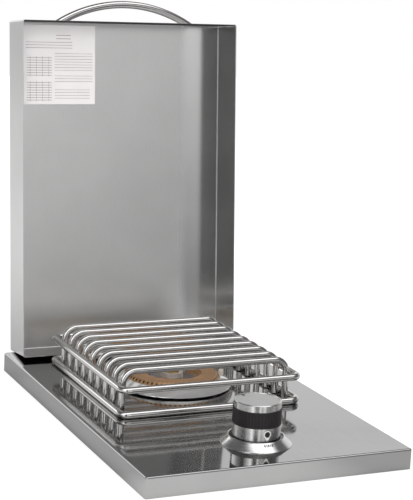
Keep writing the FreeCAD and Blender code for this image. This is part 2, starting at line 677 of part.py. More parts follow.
# Mixing tube with its air windows, and the shutter that turns on it
def make_mixing_tube():
    bowl_face = burner_y - bowl_radius - port_boss_length
    tail = bowl_face + tube_insert - weld_gap
    mouth = knob_y + boss_reach + spud_hex_length + spud_nose_length / 3
    pipe = tube("mixing_pipe", tube_radius, tube_radius - tube_wall, tail - mouth,
                (0, mouth, -tube_drop), "Y")
    window_start = mouth + air_window_setback
    half_z = air_window_height / 2
    window = block("mixing_window", (-tube_radius * 2, window_start, -tube_drop - half_z),
                   (tube_radius * 2, window_start + air_window_length, -tube_drop + half_z))
    front = tube("mixing_front", tube_radius, spud_nose_radius + hole_gap * 2, tube_wall,
                 (0, mouth, -tube_drop), "Y")
    node("mixing_tube", cut("mixing_cut", fuse("mixing_solid", pipe, front), window))

    start = window_start - shutter_margin
    length = air_window_length + shutter_margin * 2
    inner = tube_radius + running_gap
    outer = inner + shutter_wall
    sleeve = tube("shutter_sleeve", outer, inner, length, (0, start, -tube_drop), "Y")
    opening = block("shutter_window", (-tube_radius * 2, window_start, -tube_drop - half_z),
                    (tube_radius * 2, window_start + air_window_length, -tube_drop + half_z))
    node("air_shutter", cut("shutter_cut", sleeve, opening))
    middle = start + shutter_margin / 2
    screw = fuse("shutter_screw_solid",
                 cylinder("shutter_screw_neck", screw_radius, screw_rise,
                          (0, middle, outer - tube_drop)),
                 cylinder("shutter_screw_head", screw_head, screw_rise * 2,
                          (0, middle, outer - tube_drop + screw_rise)))
    node("shutter_screw", screw)


# Gas valve: body, bonnet, plug, spring, stem, orifice spud and igniter module
def make_valve():
    plug_foot_level = -chamber_floor - plug_height
    top_gap = running_gap
    body = turned("valve_barrel", [
        (0, -valve_drop), (valve_radius, -valve_drop), (valve_radius, panel_under),
        (chamber_radius, panel_under), (chamber_radius, -chamber_floor),
        (plug_top + top_gap, -chamber_floor), (plug_foot + top_gap, plug_foot_level - top_gap),
        (0, plug_foot_level - top_gap)])
    half_x = flange_width / 2
    half_y = flange_depth / 2
    flange = block("valve_flange", (-half_x, -half_y, panel_under - flange_height),
                   (half_x, half_y, panel_under))
    level = -tube_drop
    outlet = cylinder("valve_outlet", boss_radius, boss_reach, (0, 0, level), "Y")
    inlet = cylinder("valve_inlet", boss_radius, boss_reach, (0, 0, level), "X")
    chamber = turned("valve_chamber", [
        (0, plug_foot_level - top_gap), (plug_foot + top_gap, plug_foot_level - top_gap),
        (plug_top + top_gap, -chamber_floor), (chamber_radius, -chamber_floor),
        (chamber_radius, panel_top), (0, panel_top)])
    outlet_bore = cylinder("valve_outlet_bore", gas_bore, boss_reach, (0, 0, level), "Y")
    inlet_bore_cut = cylinder("valve_inlet_bore", gas_bore, boss_reach, (0, 0, level), "X")
    pipe_socket = cylinder("valve_pipe_socket", pipe_radius + weld_gap, union_length / 2,
                           (boss_reach - union_length / 2, 0, level), "X")
    spud_socket = cylinder("valve_spud_socket", spud_nose_radius + weld_gap, spud_hex_length,
                           (0, boss_reach - spud_hex_length, level), "Y")
    screw_holes = [cylinder(f"valve_screw_hole_{side}", screw_radius + weld_gap, flange_height,
                            (sign * valve_screw_x, 0, panel_under - flange_height))
                   for side, sign in (("left", -1), ("right", 1))]
    solid = fuse("valve_outside", body, flange, outlet, inlet)
    carved = cut("valve_cut", solid, chamber, outlet_bore, inlet_bore_cut, pipe_socket, spud_socket,
                 *screw_holes)
    node("valve_body", place(carved, (0, knob_y, 0)))

    bonnet_foot = collar_seat + seat_gap
    bonnet = turned("bonnet_turn", [
        (stem_radius + running_gap, bonnet_foot), (chamber_radius - weld_gap, bonnet_foot),
        (chamber_radius - weld_gap, panel_under), (stem_radius + running_gap, panel_under)])
    node("valve_bonnet", place(bonnet, (0, knob_y, 0)))

    plug = turned("plug_turn", [
        (0, plug_foot_level), (plug_foot, plug_foot_level), (plug_top, -chamber_floor),
        (0, -chamber_floor)])
    slot_half = tang_width / 2 + running_gap
    slot = block("plug_slot", (-plug_top * 2, -slot_half, -chamber_floor - plug_slot_depth),
                 (plug_top * 2, slot_half, 0))
    passage = cylinder("plug_passage", gas_bore, plug_top * 2, (-plug_top, 0, level), "X")
    branch = cylinder("plug_branch", branch_bore, plug_top, (0, -plug_top, level), "Y")
    node("valve_plug", place(cut("plug_cut", plug, slot, passage, branch), (0, knob_y, 0)))

    collar_foot = collar_seat - stem_collar_height
    tang_tip = push_travel + seat_gap - chamber_floor - plug_slot_depth
    shaft = cylinder("stem_shaft", stem_radius, stem_top - collar_foot, (0, 0, collar_foot))
    collar = cylinder("stem_collar_ring", stem_collar, stem_collar_height, (0, 0, collar_foot))
    tang = block("stem_tang", (-tang_span / 2, -tang_width / 2, tang_tip),
                 (tang_span / 2, tang_width / 2, collar_foot))
    flat = block("stem_flat_cut", (-stem_radius * 2, stem_flat, stem_top - stem_flat_length),
                 (stem_radius * 2, stem_radius * 2, stem_top + stem_radius))
    node("valve_stem", place(cut("stem_cut", fuse("stem_solid", shaft, collar, tang), flat),
                             (0, knob_y, 0)))

    wire = spring_wire.value / 2
    spring_foot = -chamber_floor.value + seat_gap.value + wire
    spring_height = collar_foot.value - seat_gap.value - wire - spring_foot
    helix = Part.makeHelix(spring_height / spring_turns.value, spring_height, spring_radius.value)
    ring = Part.Wire(Part.makeCircle(wire, FreeCAD.Vector(spring_radius.value, 0, 0),
                                     FreeCAD.Vector(0, 1, 0)))
    coil = new("Part::Feature", "spring_coil")
    coil.Shape = Part.Wire(helix).makePipeShell([ring], True, True)
    node("valve_spring", place(coil, (0, knob_y, spring_foot)))

    spud_start = knob_y + boss_reach
    hexagon_part = hexagon("spud_hexagon", spud_flats, spud_hex_length, (0, spud_start, level), "Y")
    nose = cylinder("spud_nose", spud_nose_radius, spud_nose_length,
                    (0, spud_start + spud_hex_length, level), "Y")
    tail = cylinder("spud_tail", spud_nose_radius, spud_hex_length,
                    (0, spud_start - spud_hex_length, level), "Y")
    bore = cylinder("spud_bore", gas_bore, spud_hex_length * 2 + spud_nose_length / 2,
                    (0, spud_start - spud_hex_length, level), "Y")
    jet = cylinder("spud_jet", orifice_radius, spud_nose_length * 2,
                   (0, spud_start + spud_hex_length, level), "Y")
    node("orifice_spud", cut("spud_cut", fuse("spud_solid", hexagon_part, nose, tail), bore, jet))

    module_y = knob_y - valve_radius - weld_gap - module_depth
    module = block("module_case", (-module_width / 2, module_y, -valve_drop / 2),
                   (module_width / 2, module_y + module_depth, module_height - valve_drop / 2))
    node("igniter_module", rounded("module_soft", module, bend_radius, upright))

    screws = [small_screw(f"valve_screw_{side}", sign * valve_screw_x, knob_y, panel_top + bezel_sheet)
              for side, sign in (("left", -1), ("right", 1))]
    node("valve_screws", group("valve_screw_group", *screws))


# Gas line
def make_gas_line():
    level = -tube_drop
    start = boss_reach - union_length / 2 + weld_gap
    rear = box_length / 2 - box_sheet
    body_start = rear - inlet_body
    line = bent_rod("gas_line", [(start, knob_y, level), (pipe_x, knob_y, level),
                                 (pipe_x, body_start + inlet_body / 2 - weld_gap, level)],
                    pipe_bend, pipe_radius, pipe_radius - pipe_wall)
    node("gas_pipe", line)
    union = cut("union_cut",
                hexagon("union_hexagon", union_flats, union_length, (boss_reach, knob_y, level), "X"),
                cylinder("union_bore", pipe_radius + weld_gap, union_length,
                         (boss_reach, knob_y, level), "X"))
    node("union_nut", union)
    back = box_length / 2
    neck_start = back + locknut_height + hole_gap
    thread_start = neck_start + inlet_neck_length
    thread_end = thread_start + inlet_length
    fitting = fuse("inlet_solid",
                   hexagon("inlet_hexagon", inlet_flats, inlet_body, (pipe_x, body_start, level), "Y"),
                   cylinder("inlet_bulkhead", bulkhead_radius, neck_start - rear,
                            (pipe_x, rear, level), "Y"),
                   cylinder("inlet_neck_rod", inlet_neck, thread_start - rear,
                            (pipe_x, rear, level), "Y"),
                   cylinder("inlet_thread", inlet_radius, inlet_length,
                            (pipe_x, thread_start, level), "Y"))
    socket = cylinder("inlet_socket", pipe_radius + weld_gap, inlet_body / 2,
                      (pipe_x, body_start, level), "Y")
    through = cylinder("inlet_through", inlet_bore, thread_end - body_start,
                       (pipe_x, body_start, level), "Y")
    node("inlet_fitting", cut("inlet_cut", fitting, socket, through))
    locknut = cut("locknut_cut",
                  hexagon("locknut_hexagon", locknut_flats, locknut_height, (pipe_x, back, level), "Y"),
                  cylinder("locknut_bore", bulkhead_radius + weld_gap, locknut_height,
                           (pipe_x, back, level), "Y"))
    node("inlet_locknut", locknut)


# Knob and its bezel
def make_knob():
    at = (0, knob_y, 0)
    bezel = turned("bezel_turn", [
        (bezel_bore, panel_top), (bezel_radius, panel_top),
        (bezel_mouth, panel_top + bezel_height), (bezel_mouth - bezel_sheet, panel_top + bezel_height),
        (bezel_radius - bezel_slant, panel_top + bezel_sheet), (bezel_bore, panel_top + bezel_sheet)])
    holes = [cylinder(f"bezel_hole_{side}", screw_radius + screw_gap, bezel_sheet,
                      (sign * valve_screw_x, 0, panel_top))
             for side, sign in (("left", -1), ("right", 1))]
    node("knob_bezel", place(cut("bezel_cut", bezel, *holes), at))

    foot = panel_top + knob_lift
    skirt_top = foot + skirt_height
    grip_top = skirt_top + grip_height
    crown = grip_top + cap_band
    core_radius = knob_radius - skirt_sheet - weld_gap
    core_inner = core_radius - core_wall
    ceiling = crown - cap_sheet - weld_gap
    core = turned("core_turn", [
        (0, ceiling - core_wall), (core_inner, ceiling - core_wall), (core_inner, foot),
        (core_radius, foot), (core_radius, grip_top), (cap_radius - cap_sheet - weld_gap, grip_top),
        (cap_radius - cap_sheet - weld_gap, ceiling), (0, ceiling)])
    boss_foot = stem_top - stem_flat_length
    boss = cylinder("core_boss_drum", core_boss, ceiling - core_wall - boss_foot, (0, 0, boss_foot))
    bore = cylinder("core_bore", stem_radius + weld_gap, stem_top + weld_gap - boss_foot,
                    (0, 0, boss_foot))
    key = block("core_key", (-stem_radius * 2, stem_flat + weld_gap, boss_foot),
                (stem_radius * 2, stem_radius * 2, stem_top + weld_gap))
    node("knob_core", place(cut("core_cut", fuse("core_solid", core, boss),
                                cut("core_keyed_bore", bore, key)), at))

    inner = core_radius + weld_gap
    skirt = turned("skirt_turn", [(inner, foot), (knob_radius, foot),
                                  (knob_radius - skirt_taper, skirt_top), (inner, skirt_top)])
    dot_level = foot + pointer_lift
    dot_start = knob_radius - pointer_depth
    dot_hole = cylinder("skirt_dot_hole", pointer_radius + weld_gap, pointer_depth * 2,
                        (0, -dot_start - pointer_depth * 2, dot_level), "Y")
    node("knob_skirt", place(cut("skirt_cut", skirt, dot_hole), at))
    pointer = cylinder("pointer_dot", pointer_radius, pointer_depth - skirt_taper,
                       (0, knob_y - knob_radius + skirt_taper, dot_level), "Y")
    node("knob_pointer", pointer)

    grip = tube("grip_ring", knob_radius, inner, grip_height, (0, 0, skirt_top))
    grooves = around("grip_groove", rib_count, knob_radius + rib_radius / 4,
                     lambda name, x, y, angle: cylinder(
                         name, rib_radius, grip_height - rib_radius * 4,
                         (x, y, skirt_top + rib_radius * 2)))
    node("knob_grip", place(cut("grip_cut", grip, *grooves), at))

    cap = turned("cap_turn", [
        (0, ceiling + weld_gap), (cap_radius - cap_sheet, ceiling + weld_gap),
        (cap_radius - cap_sheet, grip_top), (cap_radius, grip_top), (cap_radius, crown - cap_dish),
        (cap_radius - cap_dish, crown), (cap_radius - cap_rim + cap_dish / 2, crown),
        (cap_radius - cap_rim, crown - cap_dish), (0, crown - cap_dish)])
    node("knob_cap", place(cap, at))


# Lid, drawn standing about its hinge pin and then leaned back onto its stop
def lean(thing):
    """Stand a lid piece at the hinge pin and lean it back."""
    place(thing, (0, pin_y, panel_top + pin_lift),
          FreeCAD.Rotation(FreeCAD.Vector(-1, 0, 0), lid_lean.value))
    bind(thing, "Placement.Rotation.Angle", lid_lean)
    return thing


def make_lid():
    half = lid_width / 2
    foot = -pin_inset
    head = lid_length - pin_inset
    rim = -pin_depth
    back = lid_depth - pin_depth
    inside = back - lid_sheet
    slab = block("lid_slab", (-half, rim, foot), (half, back, head))
    corners = rounded("lid_corners", slab, corner_radius,
                      lambda edge: edge.BoundBox.YLength > lid_depth.value - 0.01)
    soft = rounded("lid_bends", corners, bend_radius,
                   lambda edge: edge.BoundBox.YMin > back.value - 0.01)
    hollow_slab = block("lid_hollow_slab", (-half + lid_sheet, rim - lid_sheet, foot + lid_sheet),
                        (half - lid_sheet, inside, head - lid_sheet))
    hollow_corners = rounded("lid_hollow_corners", hollow_slab, corner_radius - lid_sheet,
                             lambda edge: edge.BoundBox.YLength > lid_depth.value - 0.01)
    hollow = rounded("lid_hollow", hollow_corners, bend_radius - lid_sheet,
                     lambda edge: edge.BoundBox.YMin > inside.value - 0.01)
    notch_half = lug_foot_width / 2 + notch_gap
    notch_back = lug_width / 2 + notch_gap
    notches = [block(f"lid_notch_{side}",
                     (sign * hinge_x - notch_half, rim - lid_sheet, foot - lid_sheet),
                     (sign * hinge_x + notch_half, notch_back, foot + lid_sheet * 2))
               for side, sign in (("left", -1), ("right", 1))]
    node("lid_pan", lean(cut("lid_cut", soft, hollow, *notches)))

    middle = rim + lid_depth / 2
    curve = new("Part::Torus", "handle_curve_rod")
    bind(curve, "Radius1", handle_curve)
    bind(curve, "Radius2", handle_radius)
    place(curve, (0, middle, head + handle_rise - handle_curve), TURNS["Y"])
    keep = block("handle_keep", (-half, rim, head), (half, back, head + handle_rise * 2))
    bow = new("Part::Common", "handle_bow")
    bow.Base = curve
    bow.Tool = keep
    node("lid_handle", lean(bow))

    left = label_side - half
    top = head - label_top
    plate = block("label_plate", (left, inside - label_sheet, top - label_height),
                  (left + label_width, inside, top))
    node("lid_label", lean(group("label_group", plate)))

    web_start = notch_back + ear_sheet
    for side, sign in (("left", -1), ("right", 1)):
        x = sign * hinge_x
        inner = lug_sheet / 2 + seat_gap
        outer = inner + ear_sheet
        floor = foot + lid_sheet
        ears = []
        for hand, way in (("near", -1), ("far", 1)):
            low = x + (inner if way > 0 else -outer)
            ear = block(f"ear_{hand}_{side}", (low, -lug_width / 2, floor),
                        (low + ear_sheet, ear_length - pin_depth, lug_width / 2))
            ears.append(ear)
        web = block(f"ear_web_{side}", (x - outer, web_start, floor),
                    (x + outer, ear_length - pin_depth, floor + ear_sheet))
        eye = cylinder(f"ear_eye_{side}", pin_radius + running_gap, outer * 4,
                       (x - outer * 2, 0, 0), "X")
        node(f"lid_bracket_{side}", lean(cut(f"bracket_cut_{side}",
                                             fuse(f"bracket_solid_{side}", *ears, web), eye)))
    outer = lug_sheet / 2 + seat_gap + ear_sheet
    pins = []
    nuts = []
    for side, sign in (("left", -1), ("right", 1)):
        x = sign * hinge_x
        shank = cylinder(f"pin_shank_{side}", pin_radius, outer * 2 + nut_height + weld_gap,
                         (x - outer - weld_gap, 0, 0), "X")
        head_disc = cylinder(f"pin_head_{side}", pin_head_radius, pin_head_height,
                             (x - outer - weld_gap - pin_head_height, 0, 0), "X")
        pins.append(fuse(f"hinge_pin_{side}", shank, head_disc))
        start = x + outer + weld_gap
        nuts.append(cut(f"hinge_nut_{side}",
                        hexagon(f"nut_hexagon_{side}", nut_flats, nut_height, (start, 0, 0), "X"),
                        cylinder(f"nut_bore_{side}", pin_radius + weld_gap, nut_height,
                                 (start, 0, 0), "X")))
    node("hinge_pins", lean(group("hinge_pin_group", *pins)))
    node("hinge_nuts", lean(group("hinge_nut_group", *nuts)))


# Hinge lugs, welded to the top panel
def make_hinge_lugs():
    level = panel_top + pin_lift
    for side, sign in (("left", -1), ("right", 1)):
        x = sign * hinge_x
        half_foot = lug_foot_length / 2
        foot = block(f"lug_foot_{side}", (x - lug_foot_width / 2, pin_y - half_foot, panel_top),
                     (x + lug_foot_width / 2, pin_y + half_foot, panel_top + lug_foot_height))
        post = block(f"lug_post_{side}", (x - lug_sheet / 2, pin_y - lug_width / 2, panel_top),
                     (x + lug_sheet / 2, pin_y + lug_width / 2, level))
        crown = cylinder(f"lug_crown_{side}", lug_width / 2, lug_sheet,
                         (x - lug_sheet / 2, pin_y, level), "X")
        eye = cylinder(f"lug_eye_{side}", pin_radius + running_gap, lug_sheet * 3,
                       (x - lug_sheet * 1.5, pin_y, level), "X")
        solid = fuse(f"lug_solid_{side}", foot, post, crown)
        node(f"hinge_lug_{side}", cut(f"lug_cut_{side}", solid, eye))


# Grate
def ring_rod(name, level):
    """A closed ring of rod with rounded corners."""
    half_x = grate_width.value / 2
    half_y = grate_length.value / 2
    corners = [(-half_x, -half_y), (half_x, -half_y), (half_x, half_y), (-half_x, half_y)]
    points = [FreeCAD.Vector(0, -half_y, 0)]
    points += [FreeCAD.Vector(x, y, 0) for x, y in corners[1:] + corners[:1]]
    points.append(points[0])
    rod = new("Part::Feature", name)
    rod.Shape = rod_shape(rod_path(points, ring_bend.value), rod_radius.value)
    return place(rod, (0, burner_y, level))


def make_grate():
    lower = panel_top + rod_radius + seat_gap
    node("grate_lower_ring", ring_rod("lower_ring_rod", lower))
    node("grate_upper_ring", ring_rod("upper_ring_rod", panel_top + upper_ring_lift))
    reach = grate_width / 2 - rod_radius * 2 - weld_gap
    foot = panel_top + hoop_foot
    top = panel_top + hoop_lift
    for index in range(count_of(hoop_count)):
        offset = (index - (hoop_count - 1) / 2) * hoop_pitch
        hoop = bent_rod(f"hoop_rod_{index + 1}", [(-reach, 0, foot), (-reach, 0, top), (reach, 0, top),
                                                  (reach, 0, foot)], hoop_bend, rod_radius)
        node(f"grate_bar_{index + 1}", place(hoop, (0, burner_y + offset, 0)))


def check_and_write():
    """Stop on anything failed, then write one file for each piece."""
    doc.recompute()
    failed = [item.Name for item in doc.Objects if "Invalid" in item.State or "Error" in item.State]
    if failed:
        raise RuntimeError(f"failed features: {failed}")
    os.makedirs("parts", exist_ok=True)
    for label, thing in nodes.items():
        shape = thing.Shape
        if shape.isNull() or not shape.isValid() or not shape.Solids:
            raise RuntimeError(f"bad shape: {label}")
    for label, thing in nodes.items():
        thing.Shape.exportStep(os.path.join("parts", f"{label}.step"))
        print(f"{label}: {len(thing.Shape.Solids)} solid(s), {thing.Shape.Volume / 1000:.2f} cm3")


make_top_panel()
make_firebox()
make_burner()
make_burner_screws()
make_igniter()
make_mixing_tube()
make_valve()
make_gas_line()
make_knob()
make_lid()
make_hinge_lugs()
make_grate()
check_and_write()
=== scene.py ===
import math
import random

import bmesh
import bpy
from mathutils import Matrix, Vector


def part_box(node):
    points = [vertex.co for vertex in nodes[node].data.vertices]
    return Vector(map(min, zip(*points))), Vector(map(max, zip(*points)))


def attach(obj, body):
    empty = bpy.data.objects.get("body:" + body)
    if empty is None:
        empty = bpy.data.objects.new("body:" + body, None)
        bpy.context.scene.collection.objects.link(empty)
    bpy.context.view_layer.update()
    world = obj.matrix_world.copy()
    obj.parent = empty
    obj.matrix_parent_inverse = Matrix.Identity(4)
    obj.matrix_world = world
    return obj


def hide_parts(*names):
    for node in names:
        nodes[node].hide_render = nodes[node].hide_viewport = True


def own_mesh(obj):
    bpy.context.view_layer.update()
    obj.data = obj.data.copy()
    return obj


# Built in side burner, dressed for the photograph's view
#
# Everything is in metres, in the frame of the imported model: +X to the user's right, +Y away from the
# user, +Z up, with the counter at height 0. A pair named as an edge says where a soft edge starts and
# ends.

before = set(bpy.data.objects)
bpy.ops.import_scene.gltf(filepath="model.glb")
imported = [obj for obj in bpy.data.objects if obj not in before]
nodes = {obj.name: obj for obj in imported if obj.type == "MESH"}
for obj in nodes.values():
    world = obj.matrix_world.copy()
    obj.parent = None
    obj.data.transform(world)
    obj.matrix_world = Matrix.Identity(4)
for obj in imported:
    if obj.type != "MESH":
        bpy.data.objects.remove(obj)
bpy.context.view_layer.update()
scene = bpy.context.scene
random.seed(7)

MM = 0.001
WHITE = (1, 1, 1, 1)

# The photograph's camera, from a fit of the panel, lid and grate
CAMERA_PLACE = (-0.74879, -1.61325, 0.56969)
CAMERA_YAW = 25.11
CAMERA_PITCH = 10.527
CAMERA_ROLL = 2.959
FOCAL_PIXELS = 1544.34
FRAME_HEIGHT = 500
SENSOR = 36
SHIFT_UP = -0.06
CLIP_START = 0.05
CLIP_END = 50


def camera_axes():
    """Right, up and forward of the photograph's camera."""
    yaw, pitch, roll = (math.radians(angle) for angle in (CAMERA_YAW, CAMERA_PITCH, CAMERA_ROLL))
    forward = Vector((math.sin(yaw) * math.cos(pitch), math.cos(yaw) * math.cos(pitch), -math.sin(pitch)))
    level_right = Vector((math.cos(yaw), -math.sin(yaw), 0))
    level_up = level_right.cross(forward)
    right = level_right * math.cos(roll) + level_up * math.sin(roll)
    up = level_up * math.cos(roll) - level_right * math.sin(roll)
    return right, up, forward


def make_camera():
    data = bpy.data.cameras.new("camera")
    data.sensor_width = SENSOR
    data.lens = FOCAL_PIXELS / FRAME_HEIGHT * SENSOR
    data.shift_y = SHIFT_UP
    data.clip_start = CLIP_START
    data.clip_end = CLIP_END
    camera = bpy.data.objects.new("camera", data)
    scene.collection.objects.link(camera)
    right, up, forward = camera_axes()
    turn = Matrix((right, up, -forward)).transposed().to_4x4()
    camera.matrix_world = Matrix.Translation(CAMERA_PLACE) @ turn
    scene.camera = camera


# Nodes that the materials and the world share
def shader(name, colour, roughness, metallic=0.0, **settings):
    """A material with one shader, whose plain values sit on its own sockets."""
    material = bpy.data.materials.new(name)
    material.use_nodes = True
    bsdf = material.node_tree.nodes["Principled BSDF"]
    bsdf.inputs["Base Color"].default_value = (*colour, 1)
    bsdf.inputs["Roughness"].default_value = roughness
    bsdf.inputs["Metallic"].default_value = metallic
    for socket, value in settings.items():
        bsdf.inputs[socket.replace("_", " ")].default_value = value
    return material, material.node_tree, bsdf


def add(tree, kind, **values):
    """A node with its sockets and settings filled in."""
    item = tree.nodes.new(kind)
    for key, value in values.items():
        socket = key.replace("_", " ")
        if socket in item.inputs:
            item.inputs[socket].default_value = value
        else:
            setattr(item, key, value)
    return item


def feed(tree, socket, value):
    """Gives a socket a number or another node's output."""
    if isinstance(value, (int, float)):
        socket.default_value = value
    else:
        tree.links.new(value, socket)


def feeding(bsdf, socket):
    """The output that one of the shader's sockets takes its value from."""
    return bsdf.inputs[socket].links[0].from_socket


def maths(tree, operation, *values):
    """A Math node whose inputs are numbers or other nodes' outputs."""
    item = add(tree, "ShaderNodeMath", operation=operation)
    for socket, value in zip(item.inputs, values):
        feed(tree, socket, value)
    return item.outputs[0]


def product(tree, first, *others):
    """Several numbers multiplied."""
    for value in others:
        first = maths(tree, "MULTIPLY", first, value)
    return first


def largest(tree, first, *others):
    """The largest of several numbers."""
    for value in others:
        first = maths(tree, "MAXIMUM", first, value)
    return first


def diagonal(tree, first, second):
    """The length whose two parts are given."""
    squares = [maths(tree, "POWER", value, 2) for value in (first, second)]
    return maths(tree, "SQRT", maths(tree, "ADD", *squares))


def measured(tree, operation, vector, other=(0, 0, 0)):
    """A vector's length, its distance from a point or its reach along an axis."""
    item = add(tree, "ShaderNodeVectorMath", operation=operation)
    tree.links.new(vector, item.inputs[0])
    item.inputs[1].default_value = other
    return item.outputs["Value"]


def axes(tree, vector):
    """A vector's three numbers."""
    split = add(tree, "ShaderNodeSeparateXYZ")
    tree.links.new(vector, split.inputs[0])
    return split.outputs


def blended(tree, factor, first, second):
    """A number that runs from one to another."""
    mix = add(tree, "ShaderNodeMix", data_type="FLOAT")
    for socket, value in (("Factor", factor), ("A", first), ("B", second)):
        feed(tree, mix.inputs[socket], value)
    return mix.outputs["Result"]


def step(tree, value, start, end):
    """A soft run from 0 to 1 as the value goes from the start to the end."""
    item = add(tree, "ShaderNodeMapRange", interpolation_type="SMOOTHSTEP", From_Min=start, From_Max=end)
    tree.links.new(value, item.inputs["Value"])
    return item.outputs["Result"]


def ramp(tree, value, start, end, low=0, high=1):
    """A straight run from low to high as the value goes from the start to the end."""
    item = add(tree, "ShaderNodeMapRange", From_Min=start, From_Max=end, To_Min=low, To_Max=high)
    tree.links.new(value, item.inputs["Value"])
    return item.outputs["Result"]


def two_colours(tree, source, first, second):
    """A colour that runs from one to another."""
    mix = add(tree, "ShaderNodeMix", data_type="RGBA")
    mix.inputs["A"].default_value = (*first, 1)
    mix.inputs["B"].default_value = (*second, 1)
    tree.links.new(source, mix.inputs["Factor"])
    return mix.outputs["Result"]


def painted(tree, base, colour, share):
    """A colour with a plain one laid over it, where the share is above 0."""
    mix = add(tree, "ShaderNodeMix", data_type="RGBA")
    mix.inputs["B"].default_value = (*colour, 1)
    tree.links.new(base, mix.inputs["A"])
    tree.links.new(share, mix.inputs["Factor"])
    return mix.outputs["Result"]


def colour_ramp(tree, value, stops):
    """The colour at a value, from a list of values and colours."""
    bands = add(tree, "ShaderNodeValToRGB")
    while len(bands.color_ramp.elements) < len(stops):
        bands.color_ramp.elements.new(0.5)
    for element, (place, colour) in zip(bands.color_ramp.elements, stops):
        element.position = place
        element.color = (*colour, 1)
    tree.links.new(value, bands.inputs["Fac"])
    return bands.outputs["Color"]


def here(tree):
    """Object coordinates in metres."""
    return add(tree, "ShaderNodeTexCoord").outputs["Object"]


def texture_space(tree, scale=(1, 1, 1)):
    """Object coordinates, stretched along the axes whose scale is below 1."""
    mapping = add(tree, "ShaderNodeMapping", Scale=scale)
    tree.links.new(here(tree), mapping.inputs["Vector"])
    return mapping.outputs["Vector"]


def noise(tree, vector, size, detail, roughness=0.55):
    """Noise with features of about one size, in metres before any stretch."""
    item = add(tree, "ShaderNodeTexNoise", Scale=1 / size, Detail=detail, Roughness=roughness)
    tree.links.new(vector, item.inputs["Vector"])
    return item.outputs["Fac"]


# Most of what a noise gives lies between these two
NOISE_RANGE = (0.3, 0.7)


def mottle(tree, bsdf, source, colours, roughness):
    """Colour and roughness that both follow one noise, each from a first to a second value."""
    shade = two_colours(tree, ramp(tree, source, *NOISE_RANGE), *colours)
    tree.links.new(shade, bsdf.inputs["Base Color"])
    tree.links.new(ramp(tree, source, *NOISE_RANGE, *roughness), bsdf.inputs["Roughness"])


def scaled(values, share):
    return [value * share for value in values]


# Surfaces: sizes are in metres, and shades and ranges of roughness are shares of the value given
STEEL_TINT = (1, 1, 0.99)
BRUSH_GRAIN = 0.0012
BRUSH_STRETCH = 0.02
BRUSH_CLOUD = 0.09
BRUSH_CLOUD_SHARE = 0.65
BRUSH_RANGE = (0.38, 0.62)
SMEAR_SIZE = 0.012
SMEAR_SHADE = 0.94
TURN_STRETCH = (0.05, 0.05, 1)
TURN_GRAIN = 0.0006
TURN_SHADE = 0.93
TURN_ROUGHNESS = (0.85, 1.2)
TURN_ROTATION = 0.25
CAST_CLOUD = 30
CAST_SHADE = 0.85
CAST_ROUGHNESS = (0.9, 1.15)
CAST_RELIEF = 0.00005


def brushed(name, along, shades, roughness):
    """Brushed steel whose grain runs along one axis, over faint clouds."""
    dark, bright = (scaled(STEEL_TINT, shade) for shade in shades)
    material, tree, bsdf = shader(name, bright, roughness[0], 1.0)
    stretch = [BRUSH_STRETCH if axis == along else 1 for axis in "XYZ"]
    grain = noise(tree, texture_space(tree, stretch), BRUSH_GRAIN, detail=3, roughness=0.6)
    cloud = noise(tree, texture_space(tree), BRUSH_CLOUD, detail=2)
    tree.links.new(ramp(tree, cloud, *NOISE_RANGE, *roughness), bsdf.inputs["Roughness"])
    cloud_part = maths(tree, "MULTIPLY", cloud, BRUSH_CLOUD_SHARE)
    streaks = maths(tree, "MULTIPLY_ADD", grain, 1 - BRUSH_CLOUD_SHARE, cloud_part)
    colour = two_colours(tree, ramp(tree, streaks, *BRUSH_RANGE), dark, bright)
    tree.links.new(colour, bsdf.inputs["Base Color"])
    return material


def polished(name, colour, roughness, spots=0.04, metallic=1.0):
    """Bright metal with faint smears, which are rougher by the number for spots."""
    material, tree, bsdf = shader(name, colour, roughness, metallic)
    smear = noise(tree, texture_space(tree), SMEAR_SIZE, detail=3)
    mottle(tree, bsdf, smear, (scaled(colour, SMEAR_SHADE), colour), (roughness, roughness + spots))
    return material


def turned(name, colour, roughness, anisotropy):
    """Steel brushed round its own axis, with the streaked highlight that this gives."""
    material, tree, bsdf = shader(name, colour, roughness, 1.0, Anisotropic=anisotropy,
                                  Anisotropic_Rotation=TURN_ROTATION)
    tangent = add(tree, "ShaderNodeTangent", direction_type="RADIAL", axis="Z")
    tree.links.new(tangent.outputs["Tangent"], bsdf.inputs["Tangent"])
    rings = noise(tree, texture_space(tree, TURN_STRETCH), TURN_GRAIN, detail=2, roughness=0.5)
    mottle(tree, bsdf, rings, (scaled(colour, TURN_SHADE), colour), scaled(TURN_ROUGHNESS, roughness))
    return material


def cast(name, colour, roughness, metallic, grain=0.0008, depth=0.3):
    """A surface with a fine grain, such as cast metal, ceramic or moulded plastic."""
    material, tree, bsdf = shader(name, colour, roughness, metallic)
    where = texture_space(tree)
    broad = noise(tree, where, grain * CAST_CLOUD, detail=2)
    mottle(tree, bsdf, broad, (scaled(colour, CAST_SHADE), colour), scaled(CAST_ROUGHNESS, roughness))
    bump = add(tree, "ShaderNodeBump", Strength=depth, Distance=CAST_RELIEF)
    tree.links.new(noise(tree, where, grain, detail=3), bump.inputs["Height"])
    tree.links.new(bump.outputs["Normal"], bsdf.inputs["Normal"])
    return material


# Flame ports, by their distance below the ring's top, the painted shade in them and the soot round them
PORT_COUNT = 60
PORT_DROP = 2.1 * MM
PORT_EDGE = (1.25 * MM, 0.95 * MM)
SOOT_EDGE = (3.0 * MM, 0.95 * MM)
SOOT_SHARE = 0.3
PORT_SHADE_AND_SOOT = (0.010, 0.008, 0.007)
PORT_FIELD = 45 * MM
RING_CENTRE = (0, 62 * MM)


